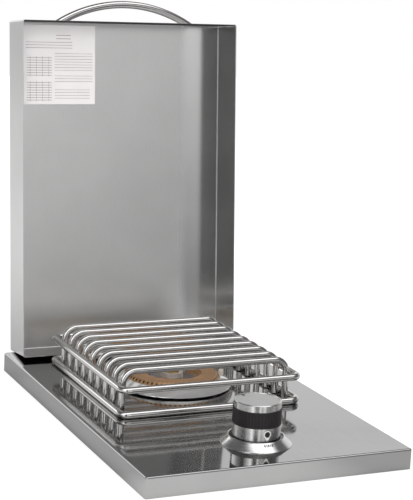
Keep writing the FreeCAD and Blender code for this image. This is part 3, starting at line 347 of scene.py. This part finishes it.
def ported(name, colour, roughness, metallic):
    """Worn brass with painted shade in its flame ports and soot round them."""
    material = cast(name, colour, roughness, metallic)
    tree = material.node_tree
    bsdf = tree.nodes["Principled BSDF"]
    x, y, z = axes(tree, here(tree))
    across = maths(tree, "SUBTRACT", x, RING_CENTRE[0])
    along = maths(tree, "SUBTRACT", y, RING_CENTRE[1])
    angle = maths(tree, "ARCTAN2", along, across)
    turns = maths(tree, "MULTIPLY_ADD", angle, PORT_COUNT / (2 * math.pi), 0.5)
    share = maths(tree, "SUBTRACT", maths(tree, "FRACT", turns), 0.5)
    away = diagonal(tree, across, along)
    arc = maths(tree, "MULTIPLY", share, maths(tree, "MULTIPLY", away, 2 * math.pi / PORT_COUNT))
    rise = maths(tree, "SUBTRACT", z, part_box("flame_ring")[1][2] - PORT_DROP)
    gap = diagonal(tree, arc, rise)
    outside = maths(tree, "GREATER_THAN", away, PORT_FIELD)
    # Painted shade: the inside of each flame port is painted near black; the fainter ring round it is soot
    port_shade = product(tree, step(tree, gap, *PORT_EDGE), outside)
    soot = product(tree, step(tree, gap, *SOOT_EDGE), outside, SOOT_SHARE)
    colour = painted(tree, feeding(bsdf, "Base Color"), PORT_SHADE_AND_SOOT, largest(tree, port_shade, soot))
    tree.links.new(colour, bsdf.inputs["Base Color"])
    return material


# Heat bands round the burner's hub: places as shares of their reach, from the middle outwards
HEAT_BANDS = [
    (0.30, (0.55, 0.47, 0.56)),
    (0.42, (0.72, 0.62, 0.45)),
    (0.56, (0.60, 0.54, 0.62)),
    (0.70, (0.80, 0.78, 0.76)),
    (0.95, (0.76, 0.74, 0.72)),
]
HEAT_REACH = 55 * MM
HEAT_CLOUD = 18 * MM
HEAT_WAVER = 16 * MM
HEAT_ROUGHNESS = (0.10, 0.22)


def heat_tinted(name, colour, roughness):
    """Bright steel with the straw and violet bands that heat leaves round a burner's hub."""
    material, tree, bsdf = shader(name, colour, roughness, 1.0)
    where = here(tree)
    centre = [total / 2 for total in map(sum, zip(*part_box("burner_base")))]
    cloud = noise(tree, where, HEAT_CLOUD, detail=3)
    away = maths(tree, "MULTIPLY_ADD", cloud, HEAT_WAVER, measured(tree, "DISTANCE", where, centre))
    bands = colour_ramp(tree, ramp(tree, away, 0, HEAT_REACH), HEAT_BANDS)
    tree.links.new(bands, bsdf.inputs["Base Color"])
    tree.links.new(ramp(tree, cloud, *NOISE_RANGE, *HEAT_ROUGHNESS), bsdf.inputs["Roughness"])
    return material


# The lid leans back. A painted shadow darkens the narrow strip under its top wall, and it is smoother near
# its right wall.
# Each edge is measured inwards, from the top, the front rim or the side.
LID_LEAN = math.radians(5.8)
SHADOW_FOOT_EDGE = (3.0 * MM, 2.6 * MM)
SHADOW_TOP_EDGE = (0.1 * MM, 0.2 * MM)
SHADOW_BACK_EDGE = (45 * MM, 40.5 * MM)
SHADOW_SIDE_EDGE = (1.6 * MM, 2.0 * MM)
PAINTED_SHADOW_COLOUR = (0.04, 0.04, 0.04)
SMOOTH_EDGE = (60 * MM, 42 * MM)
SMOOTH_BY = 0.12


def lid_with_painted_shadow(name, along, shades, roughness):
    """The lid's brushed steel, with a painted shadow in the narrow strip under its top wall."""
    material = brushed(name, along, shades, roughness)
    tree = material.node_tree
    bsdf = tree.nodes["Principled BSDF"]
    steel = feeding(bsdf, "Base Color")
    gloss = feeding(bsdf, "Roughness")
    up = Vector((0, math.sin(LID_LEAN), math.cos(LID_LEAN)))
    front = Vector((0, -math.cos(LID_LEAN), math.sin(LID_LEAN)))
    points = [vertex.co for vertex in nodes["lid_pan"].data.vertices]
    top = max(point.dot(up) for point in points)
    rim = max(point.dot(front) for point in points)
    side = max(point.x for point in points)
    where = here(tree)
    height = measured(tree, "DOT_PRODUCT", where, up)
    reach = measured(tree, "DOT_PRODUCT", where, front)
    right = axes(tree, where)[0]

    def inside(value, limit, edge):
        return step(tree, value, limit - edge[0], limit - edge[1])

    # Painted shadow: the strip under the top wall is made dark, matt and non-metal
    share = product(tree, inside(height, top, SHADOW_FOOT_EDGE), inside(height, top, SHADOW_TOP_EDGE),
                    inside(reach, rim, SHADOW_BACK_EDGE),
                    inside(maths(tree, "ABSOLUTE", right), side, SHADOW_SIDE_EDGE))
    tree.links.new(painted(tree, steel, PAINTED_SHADOW_COLOUR, share), bsdf.inputs["Base Color"])
    smoother = product(tree, inside(right, side, SMOOTH_EDGE), SMOOTH_BY)
    gloss = maths(tree, "SUBTRACT", gloss, smoother)
    tree.links.new(maths(tree, "MAXIMUM", gloss, share), bsdf.inputs["Roughness"])
    tree.links.new(maths(tree, "SUBTRACT", 1, share), bsdf.inputs["Metallic"])
    return material


# Printed form, each block as left, right, top, foot, pitch in millimetres, and ink as a share of the pitch
FORM_LINES = [
    (44, 64, 10, 18, 4.2, 0.16),
    (3, 66, 20, 31, 3.6, 0.16),
    (4, 38, 40, 66, 3.2, 0.20),
    (4, 38, 72, 98, 3.2, 0.20),
    (42, 94, 34, 58, 3.6, 0.14),
    (42, 94, 62, 74, 3.6, 0.14),
    (42, 90, 82, 95, 3.6, 0.14),
]
FORM_COLUMNS = [
    (4, 38, 40, 66, 8.4, 0.05),
    (4, 38, 72, 98, 8.4, 0.05),
]
FORM_INK = (0.30, 0.27, 0.27)
PAPER_CLOUD = 20 * MM
PAPER_COLOURS = ((0.93, 0.90, 0.90), (0.97, 0.94, 0.94))
PAPER_ROUGHNESS = (0.4, 0.5)


def printed_form(name, colour, roughness):
    """A pale sticker with a faint printed form: ruled lines and empty cells, and no words."""
    material, tree, bsdf = shader(name, colour, roughness)
    low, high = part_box("lid_label")
    lean = math.atan2(high[1] - low[1], high[2] - low[2])
    x, _, z = axes(tree, here(tree))
    across = maths(tree, "SUBTRACT", x, low[0])
    down = maths(tree, "DIVIDE", maths(tree, "SUBTRACT", high[2], z), math.cos(lean))

    def within(value, start, end):
        after = maths(tree, "GREATER_THAN", value, start * MM)
        return maths(tree, "MULTIPLY", after, maths(tree, "LESS_THAN", value, end * MM))

    def lines(value, pitch, width):
        turns = maths(tree, "DIVIDE", value, pitch * MM)
        return maths(tree, "LESS_THAN", maths(tree, "FRACT", turns), width)

    marks = []
    for blocks, counted in ((FORM_LINES, down), (FORM_COLUMNS, across)):
        for left, right, top, foot, pitch, width in blocks:
            marks.append(product(tree, within(across, left, right), within(down, top, foot),
                                 lines(counted, pitch, width)))
    paper = noise(tree, texture_space(tree), PAPER_CLOUD, detail=2)
    mottle(tree, bsdf, paper, PAPER_COLOURS, PAPER_ROUGHNESS)
    printed = painted(tree, feeding(bsdf, "Base Color"), FORM_INK, largest(tree, *marks))
    tree.links.new(printed, bsdf.inputs["Base Color"])
    return material


# Finishes: a name, a colour, roughness and what else the surface needs
finishes = {
    "panel": brushed("panel_steel", "Y", shades=(0.46, 0.50), roughness=(0.06, 0.08)),
    "lid": lid_with_painted_shadow("lid_steel", "Z", shades=(0.75, 0.80), roughness=(0.276, 0.29)),
    "hidden": brushed("box_steel", "Y", shades=(0.44, 0.50), roughness=(0.3, 0.4)),
    "rod": polished("rod_steel", (0.76, 0.75, 0.74), 0.14),
    "disc": polished("disc_steel", (0.90, 0.90, 0.89), 0.07, metallic=0.70),
    "skirt": turned("skirt_steel", (0.72, 0.72, 0.71), 0.22, anisotropy=0.9),
    "bezel": turned("bezel_steel", (0.82, 0.82, 0.81), 0.20, anisotropy=0.85),
    "face": cast("face_steel", (0.72, 0.72, 0.71), 0.32, metallic=0.9, grain=0.0006, depth=0.1),
    "weld": cast("weld_steel", (0.50, 0.48, 0.45), 0.30, metallic=1.0, depth=0.2),
    # Ink for the printed marks, also used as the painted shade of the cap's notch
    "ink_and_shade": cast("ink_and_notch_shade", (0.02, 0.02, 0.02), 0.5, metallic=0.0),
    "base": heat_tinted("base_steel", (0.74, 0.72, 0.70), 0.14),
    "hub": cast("hub_steel", (0.88, 0.84, 0.83), 0.32, metallic=0.6),
    "plated": polished("plated_steel", (0.55, 0.55, 0.55), 0.25),
    "ring": ported("ring_brass", (0.82, 0.50, 0.27), 0.42, metallic=0.7),
    "brass": polished("fitting_brass", (0.72, 0.55, 0.26), 0.22),
    "cast": cast("cast_aluminium", (0.45, 0.45, 0.45), 0.45, metallic=1.0),
    "tube": polished("tube_aluminium", (0.66, 0.67, 0.68), 0.3),
    "ceramic": cast("ceramic", (0.80, 0.72, 0.64), 0.3, metallic=0.0, grain=0.0005, depth=0.1),
    "plastic": cast("black_plastic", (0.02, 0.02, 0.02), 0.4, metallic=0.0),
    "rubber": cast("black_rubber", (0.012, 0.010, 0.011), 0.45, metallic=0.0),
    "enamel": cast("black_enamel", (0.015, 0.015, 0.015), 0.3, metallic=0.0),
    "label": printed_form("label_film", (0.86, 0.84, 0.84), 0.45),
    # The white drop round the knob's pointer is a painted highlight
    "white": cast("painted_highlight_white", (0.80, 0.80, 0.78), 0.3, metallic=0.0),
}

DRESS = {
    "panel": ["top_panel"],
    "lid": ["lid_pan"],
    "hidden": ["firebox", "mixing_tube", "air_shutter", "igniter_clip", "hinge_lug_left", "hinge_lug_right",
               "lid_bracket_left", "lid_bracket_right"],
    "rod": ["lid_handle", "grate_lower_ring", "grate_upper_ring"] + [f"grate_bar_{i}" for i in range(1, 10)],
    "disc": ["drip_disc"],
    "skirt": ["knob_skirt", "knob_cap"],
    "bezel": ["knob_bezel"],
    "plated": ["burner_screws", "collar_screws", "valve_screws", "hinge_pins", "hinge_nuts", "shutter_screw",
               "valve_stem", "valve_spring", "igniter_tip"],
    "ring": ["flame_ring"],
    "brass": ["hub_nut", "valve_body", "valve_bonnet", "valve_plug", "orifice_spud", "union_nut",
              "inlet_fitting", "inlet_locknut"],
    "cast": ["burner_bowl"],
    "base": ["burner_base"],
    "hub": ["burner_hub"],
    "tube": ["gas_pipe"],
    "ceramic": ["igniter_ceramic"],
    "plastic": ["igniter_module", "knob_core"],
    "rubber": ["knob_grip"],
    "enamel": ["knob_pointer"],
    "label": ["lid_label"],
}


def dress_nodes():
    for finish, names in DRESS.items():
        for name in names:
            data = nodes[name].data
            data.materials.clear()
            data.materials.append(finishes[finish])


# Floor: white to the camera, and with darker and lighter parts for the metal that mirrors it
FLOOR_LEVEL = -0.0005
FLOOR_LEFT = -4.0
FLOOR_RIGHT = 4.0
FLOOR_FRONT = -0.34
FLOOR_BACK = 4.0
APRON_FRONT = -4.0
FLOOR_COLOUR = (0.50, 0.50, 0.50)
FLOOR_ROUGHNESS = 0.9
GLOW_NEAR = 0.72
GLOW_FAR = 1.0
GLOW_EDGE = (0.4, 1.2)
MIRRORED_RIGHT = 0.10
MIRRORED_LEFT = 0.30
MIRRORED_OPEN = 0.42
LEFT_EDGE = (-0.22, -0.30)
FRONT_SIDE_EDGE = (0.16, 0.02)
FRONT_EDGE = (-0.12, -0.24)
FAR_EDGE = (0.40, 1.0)

# Surroundings: levels of brightness, and edges by the side, depth and height of a direction's unit vector
SKY_ON_MATT = 0.55
SKYLINE_TOP = 2.5
SKYLINE_TILT = 0.22
SKYLINE_RISE = 0.25
WALL_TOP_EDGE = (0.24, 0.36)
WALL_BEHIND_EDGE = (-0.2, 0.2)
WALL_BEHIND_LIFT = 0.12
DIM_ABOVE = 0.14
DIM_SIDE_EDGE = (-0.1, 0.25)
DIM_BACK_EDGE = (0.1, 0.5)
DARK_ABOVE = 0.12
DARK_EDGE = (0.50, 0.62)

# Two lights in the surroundings: a leaning strip, across its normal, and a box above the front. Metal
# that is seen in other metal shows less of them.
STRIP_NORMAL = (0.317, -0.863, -0.393)
STRIP_LEVEL = 1.8
STRIP_EDGE = (0.12, 0.34)
STRIP_FOOT_EDGE = (0.05, 0.30)
STRIP_SIDE_EDGE = (0.70, 0.45)
BOX_LEVEL = 1.0
BOX_FOOT_EDGE = (0.58, 0.70)
BOX_BACK_EDGE = (-0.10, -0.30)
BOX_SIDE_EDGE = (0.60, 0.45)
LAMPS_IN_SECOND = 0.42
FIRST_BOUNCE = 1.5

# Levels round the horizon that metal sees: degrees from the front, positive to the left, and level
SKYLINE_HIGH = [
    (-180, 1.00), (-155, 0.84), (-120, 0.80), (-100, 0.50), (-88, 0.20), (-60, 0.10), (-37, 0.12),
    (-28, 0.76), (-20, 0.92), (-10, 1.30), (-3, 1.10), (4, 0.45), (9, 1.00), (13, 1.80), (17, 0.80),
    (21, 0.10), (34, 0.08), (38, 0.60), (43, 1.80), (48, 2.50), (56, 1.20), (66, 0.40), (80, 0.10),
    (100, 0.15), (120, 0.80), (135, 1.70), (155, 1.90), (180, 1.00),
]
SKYLINE_LOW = [
    (-180, 0.95), (-155, 0.90), (-120, 0.90), (-100, 0.40), (-88, 0.15), (-60, 0.08), (-37, 0.10),
    (-27, 0.10), (-18, 0.14), (-12, 0.90), (-4, 0.70), (3, 0.30), (9, 0.70), (13, 1.10), (17, 0.40),
    (21, 0.06), (34, 0.05), (38, 0.40), (43, 1.00), (48, 1.60), (58, 0.40), (68, 0.10), (90, 0.08),
    (110, 0.30), (135, 0.46), (155, 0.46), (180, 0.95),
]

# Lamps that light matt surfaces: name, place, target, size and power
LAMPS = [
    ("front", (-0.5, -2.4, 0.9), (0, 0, 0.2), (2.0, 1.6), 40),
    ("top", (0.3, 0.1, 2.2), (0, 0, 0), (1.6, 1.6), 18),
]


def seen_plainly(tree, rays):
    """One for rays that reach the camera straight or through something clear, else 0."""
    return maths(tree, "MAXIMUM", rays.outputs["Is Camera Ray"], rays.outputs["Is Transmission Ray"])


def floor_sheet(name, front, back, material):
    mesh = bpy.data.meshes.new(name)
    corners = [(FLOOR_LEFT, front, FLOOR_LEVEL), (FLOOR_RIGHT, front, FLOOR_LEVEL),
               (FLOOR_RIGHT, back, FLOOR_LEVEL), (FLOOR_LEFT, back, FLOOR_LEVEL)]
    mesh.from_pydata(corners, [], [(0, 1, 2, 3)])
    mesh.materials.append(material)
    sheet = bpy.data.objects.new(name, mesh)
    scene.collection.objects.link(sheet)
    return sheet


def make_floor():
    material, tree, bsdf = shader("floor_white", FLOOR_COLOUR, FLOOR_ROUGHNESS, Emission_Color=WHITE)
    rays = add(tree, "ShaderNodeLightPath")
    where = here(tree)
    x, y, _ = axes(tree, where)
    away = measured(tree, "LENGTH", where)
    glow = blended(tree, step(tree, away, *GLOW_EDGE), GLOW_NEAR, GLOW_FAR)

    left = blended(tree, step(tree, x, *LEFT_EDGE), MIRRORED_RIGHT, MIRRORED_LEFT)
    front = product(tree, step(tree, y, *FRONT_EDGE), step(tree, x, *FRONT_SIDE_EDGE), MIRRORED_OPEN)
    far = product(tree, step(tree, away, *FAR_EDGE), MIRRORED_OPEN)
    mirrored = product(tree, rays.outputs["Is Glossy Ray"], largest(tree, left, front, far))
    tree.links.new(blended(tree, seen_plainly(tree, rays), mirrored, glow), bsdf.inputs["Emission Strength"])

    floor_sheet("floor", FLOOR_FRONT, FLOOR_BACK, material)
    # Only the camera sees what lies before the object, so that the metal there mirrors the surroundings
    apron = floor_sheet("floor_apron", APRON_FRONT, FLOOR_FRONT, material)
    apron.visible_glossy = False
    apron.visible_diffuse = False
    apron.visible_shadow = False


def skyline(tree, azimuth, levels):
    """Brightness round the horizon, from a list of degrees and levels."""
    stops = [((angle + 180) / 360, (level / SKYLINE_TOP,) * 3) for angle, level in levels]
    bands = colour_ramp(tree, ramp(tree, azimuth, -math.pi, math.pi), stops)
    return maths(tree, "MULTIPLY", bands, SKYLINE_TOP)


def make_world():
    world = bpy.data.worlds.new("studio")
    scene.world = world
    world.use_nodes = True
    tree = world.node_tree
    background = tree.nodes["Background"]
    background.inputs["Color"].default_value = WHITE
    rays = add(tree, "ShaderNodeLightPath")
    where = add(tree, "ShaderNodeTexCoord").outputs["Generated"]
    side, depth, height = axes(tree, where)

    azimuth = maths(tree, "ARCTAN2", maths(tree, "MULTIPLY", side, -1), maths(tree, "MULTIPLY", depth, -1))
    rise = maths(tree, "MULTIPLY_ADD", side, SKYLINE_TILT, height)
    horizon = blended(tree, ramp(tree, rise, 0, SKYLINE_RISE), skyline(tree, azimuth, SKYLINE_LOW),
                      skyline(tree, azimuth, SKYLINE_HIGH))
    behind = product(tree, step(tree, depth, *WALL_BEHIND_EDGE), WALL_BEHIND_LIFT)
    lifted = maths(tree, "SUBTRACT", height, behind)
    dim = largest(tree, step(tree, side, *DIM_SIDE_EDGE), step(tree, depth, *DIM_BACK_EDGE))
    above = blended(tree, dim, horizon, DIM_ABOVE)
    around = blended(tree, step(tree, lifted, *WALL_TOP_EDGE), horizon, above)
    around = blended(tree, step(tree, height, *DARK_EDGE), around, DARK_ABOVE)

    toward = measured(tree, "DOT_PRODUCT", where, Vector(STRIP_NORMAL).normalized())
    off_strip = step(tree, maths(tree, "ABSOLUTE", toward), *STRIP_EDGE)
    strip = product(tree, maths(tree, "SUBTRACT", 1, off_strip), step(tree, height, *STRIP_FOOT_EDGE),
                    step(tree, side, *STRIP_SIDE_EDGE))
    box = product(tree, step(tree, height, *BOX_FOOT_EDGE), step(tree, depth, *BOX_BACK_EDGE),
                  step(tree, side, *BOX_SIDE_EDGE))
    first = maths(tree, "LESS_THAN", rays.outputs["Glossy Depth"], FIRST_BOUNCE)
    share = blended(tree, first, LAMPS_IN_SECOND, 1)
    around = blended(tree, product(tree, box, share), around, BOX_LEVEL)
    around = blended(tree, product(tree, strip, share), around, STRIP_LEVEL)

    unseen = blended(tree, rays.outputs["Is Glossy Ray"], SKY_ON_MATT, around)
    strength = blended(tree, seen_plainly(tree, rays), unseen, 1.0)
    tree.links.new(strength, background.inputs["Strength"])


def lamp(name, place, target, size, power):
    data = bpy.data.lights.new(name, "AREA")
    data.shape = "RECTANGLE"
    data.size, data.size_y = size
    data.energy = power
    item = bpy.data.objects.new(name, data)
    scene.collection.objects.link(item)
    item.location = place
    item.rotation_mode = "QUATERNION"
    item.rotation_quaternion = (Vector(target) - Vector(place)).to_track_quat("-Z", "Y")
    item.visible_glossy = False


# Pieces that the solids leave out, built as meshes in millimetres
KNOB_Y = -171.7
KNOB_RADIUS = 27.1
LATHE_STEPS = 128
SHARP = math.radians(32)
PATCH_RINGS = (1, 0.7, 0.35)


def new_piece(name, shape, body, finish):
    """A mesh piece from a finished bmesh in millimetres."""
    for vertex in shape.verts:
        vertex.co = vertex.co * MM
    bmesh.ops.recalc_face_normals(shape, faces=shape.faces[:])
    mesh = bpy.data.meshes.new(name)
    shape.to_mesh(mesh)
    shape.free()
    for face in mesh.polygons:
        face.use_smooth = True
    mesh.set_sharp_from_angle(angle=SHARP)
    mesh.materials.append(finishes[finish])
    item = bpy.data.objects.new(name, mesh)
    scene.collection.objects.link(item)
    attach(item, body)
    return item


def oval(half_width, half_height, count, level=0):
    """Points round an oval, whose middle is at a level."""
    turns = [2 * math.pi * i / count for i in range(count)]
    return [(half_width * math.cos(turn), level + half_height * math.sin(turn)) for turn in turns]


def lathe(shape, profile):
    """A closed ring round the knob's axis or, where the profile starts and ends on it, a closed disc."""
    turns = [2 * math.pi * i / LATHE_STEPS for i in range(LATHE_STEPS)]
    rings = []
    for radius, level in profile:
        around = turns if radius else turns[:1]
        rings.append([shape.verts.new((radius * math.cos(turn), KNOB_Y + radius * math.sin(turn), level))
                      for turn in around])
    pairs = list(zip(rings, rings[1:]))
    if len(rings[0]) > 1:
        pairs.append((rings[-1], rings[0]))
    for lower, upper in pairs:
        for i in range(LATHE_STEPS):
            corners = [lower[i % len(lower)], lower[(i + 1) % len(lower)],
                       upper[(i + 1) % len(upper)], upper[i % len(upper)]]
            unique = list(dict.fromkeys(corners))
            if len(unique) > 2:
                shape.faces.new(unique)


def patch(shape, outline, surface, lift):
    """A thin closed plate that reaches above and below a surface; the outline runs round its middle."""
    count = len(outline)
    across = sum(point[0] for point in outline) / count
    down = sum(point[1] for point in outline) / count
    sides = []
    for height in (lift, -lift):
        rings = []
        for share in PATCH_RINGS:
            points = [(across + (s - across) * share, down + (t - down) * share) for s, t in outline]
            rings.append([shape.verts.new(surface(*point, height)) for point in points])
        middle = shape.verts.new(surface(across, down, height))
        for outer, inner in zip(rings, rings[1:]):
            for i in range(count):
                shape.faces.new((outer[i], outer[(i + 1) % count], inner[(i + 1) % count], inner[i]))
        for i in range(count):
            shape.faces.new((rings[-1][i], rings[-1][(i + 1) % count], middle))
        sides.append(rings[0])
    front, back = sides
    for i in range(count):
        shape.faces.new((front[i], back[i], back[(i + 1) % count], front[(i + 1) % count]))


# Bezel: a cone with a rolled lip, whose mouth leaves a dark gap round the knob
CONE_FOOT = (40.1, 24.2)
CONE_TOP = (32.3, 31.4)
CONE_NORMAL = (0.68, 0.73)
BEZEL_PROFILE = [
    (5.9, 23.5), (40.0, 23.5), (40.2, 23.7), CONE_FOOT, CONE_TOP, (31.8, 32.1), (31.2, 32.45),
    (30.6, 32.4), (30.2, 32.0), (30.3, 31.5), (36.6, 25.6), (36.4, 24.9), (35.6, 24.7), (5.9, 24.7),
]

# Short printed bars on the cone's front: middles and widths along an arc of one radius, and heights
MARKS = [(-5.6, 1.4), (-3.3, 0.9), (-1.2, 1.4), (1.1, 0.9), (3.4, 1.4)]
MARK_FOOT = 29.0
MARK_TOP = 31.0
MARK_RADIUS = 34
MARK_LIFT = 0.06


def make_bezel():
    shape = bmesh.new()
    lathe(shape, BEZEL_PROFILE)
    piece = new_piece("bezel_ring", shape, "panel", "bezel")
    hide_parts("knob_bezel")


def on_bezel(across, level, lift):
    """A point on the bezel's cone, by arc length from its front and by height."""
    share = (level - CONE_FOOT[1]) / (CONE_TOP[1] - CONE_FOOT[1])
    radius = CONE_FOOT[0] + (CONE_TOP[0] - CONE_FOOT[0]) * share + lift * CONE_NORMAL[0]
    angle = across / MARK_RADIUS
    return radius * math.sin(angle), KNOB_Y - radius * math.cos(angle), level + lift * CONE_NORMAL[1]


def make_bezel_marks():
    shape = bmesh.new()
    for middle, width in MARKS:
        left = middle - width / 2
        right = middle + width / 2
        outline = [(left, MARK_FOOT), (middle, MARK_FOOT), (right, MARK_FOOT),
                   (right, MARK_TOP), (middle, MARK_TOP), (left, MARK_TOP)]
        patch(shape, outline, on_bezel, MARK_LIFT)
    new_piece("bezel_marks", shape, "panel", "ink_and_shade")


# Pointer: a black dot on a white drop whose tip points down; the drop is a painted highlight
ROUND_STEPS = 40
DOT_LEVEL = 40.3
DOT_RADIUS = 3.2
DOT_LIFT = 0.16
DROP_RADIUS = 4.3
DROP_START = -50
DROP_SWEEP = 280
DROP_TIP = 7.4
DROP_FLANK = (0.48, 0.72)
DROP_LIFT = 0.07


def on_skirt(across, level, lift):
    """A point on the knob's skirt, by arc length from its front and by height."""
    angle = across / KNOB_RADIUS
    radius = KNOB_RADIUS + lift
    return radius * math.sin(angle), KNOB_Y - radius * math.cos(angle), level


def make_pointer():
    drop = []
    for i in range(ROUND_STEPS):
        angle = math.radians(DROP_START + DROP_SWEEP * i / (ROUND_STEPS - 1))
        drop.append((DROP_RADIUS * math.cos(angle), DOT_LEVEL + DROP_RADIUS * math.sin(angle)))
    flank = DROP_RADIUS * DROP_FLANK[0]
    flank_level = DOT_LEVEL - DROP_TIP * DROP_FLANK[1]
    drop += [(-flank, flank_level), (0, DOT_LEVEL - DROP_TIP), (flank, flank_level)]
    # Painted highlight: a white drop round the dot
    shape = bmesh.new()
    patch(shape, drop, on_skirt, DROP_LIFT)
    new_piece("pointer_highlight_drop", shape, "knob", "white")

    shape = bmesh.new()
    patch(shape, oval(DOT_RADIUS, DOT_RADIUS, ROUND_STEPS, DOT_LEVEL), on_skirt, DOT_LIFT)
    piece = new_piece("pointer_dot", shape, "knob", "enamel")
    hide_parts("knob_pointer")


# Cap: a brushed face set in the rim, with a short notch near its rear edge drawn as painted shade, a flat
# black oval
CAP_LEVEL = 71.6
FACE_RADIUS = 23.6
FACE_FOOT = CAP_LEVEL - 0.3
FACE_SHOULDER = CAP_LEVEL + 0.15
FACE_TOP = CAP_LEVEL + 0.45
FACE_BEVEL = 0.3
NOTCH = (-8.6, 19.0)
NOTCH_SIZE = (1.8, 2.6)
NOTCH_STEPS = 24
NOTCH_LIFT = 0.1


def on_cap(across, along, lift):
    """A point on the cap's face, from the notch's middle."""
    return NOTCH[0] + across, KNOB_Y + NOTCH[1] + along, FACE_TOP + lift


def make_cap():
    shape = bmesh.new()
    lathe(shape, [(0, FACE_FOOT), (FACE_RADIUS, FACE_FOOT), (FACE_RADIUS, FACE_SHOULDER),
                  (FACE_RADIUS - FACE_BEVEL, FACE_TOP), (0, FACE_TOP)])
    new_piece("cap_face", shape, "knob", "face")

    shape = bmesh.new()
    # Painted shade: a flat black oval stands for the notch's dark hollow
    patch(shape, oval(*NOTCH_SIZE, NOTCH_STEPS), on_cap, NOTCH_LIFT)
    new_piece("cap_notch_shade", shape, "knob", "ink_and_shade")


# Welds where each bar's legs meet the two rings
WELD_X = 109.05
WELD_LEVELS = (27.8, 56.5)
WELD_SIZE = (1.5, 3.4, 2.2)
WELD_WOBBLE = (0.9, 1.1)
WELD_SWELL = 0.06
WELD_WAVES = (7, 5)
WELD_DETAIL = 3
BAR_PITCH = 24.75
BAR_COUNT = 9
BURNER_Y = 62


def make_welds():
    shape = bmesh.new()
    middle = (BAR_COUNT - 1) / 2
    for side in (-1, 1):
        for level in WELD_LEVELS:
            for i in range(BAR_COUNT):
                place = Vector((side * WELD_X, BURNER_Y + (i - middle) * BAR_PITCH, level))
                bead = bmesh.ops.create_icosphere(shape, subdivisions=WELD_DETAIL, radius=1)["verts"]
                wobble = [random.uniform(*WELD_WOBBLE) for _ in range(3)]
                for vertex in bead:
                    wave = math.sin(WELD_WAVES[0] * vertex.co.y + i) * math.cos(WELD_WAVES[1] * vertex.co.z)
                    swell = 1 + WELD_SWELL * wave
                    size = [part * change * swell for part, change in zip(WELD_SIZE, wobble)]
                    vertex.co = place + Vector([part * along for part, along in zip(vertex.co, size)])
    new_piece("grate_welds", shape, "grate", "weld")


def make_return_spring():
    spring = bpy.data.objects.new("return_spring", nodes["valve_spring"].data.copy())
    scene.collection.objects.link(spring)
    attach(spring, "plug")
    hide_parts("valve_spring")
    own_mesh(spring)


make_camera()
dress_nodes()
make_floor()
make_world()
make_bezel()
make_bezel_marks()
make_pointer()
make_cap()
make_welds()
make_return_spring()
for settings in LAMPS:
    lamp(*settings)

scene.view_settings.view_transform = "Standard"
bpy.context.view_layer.update()
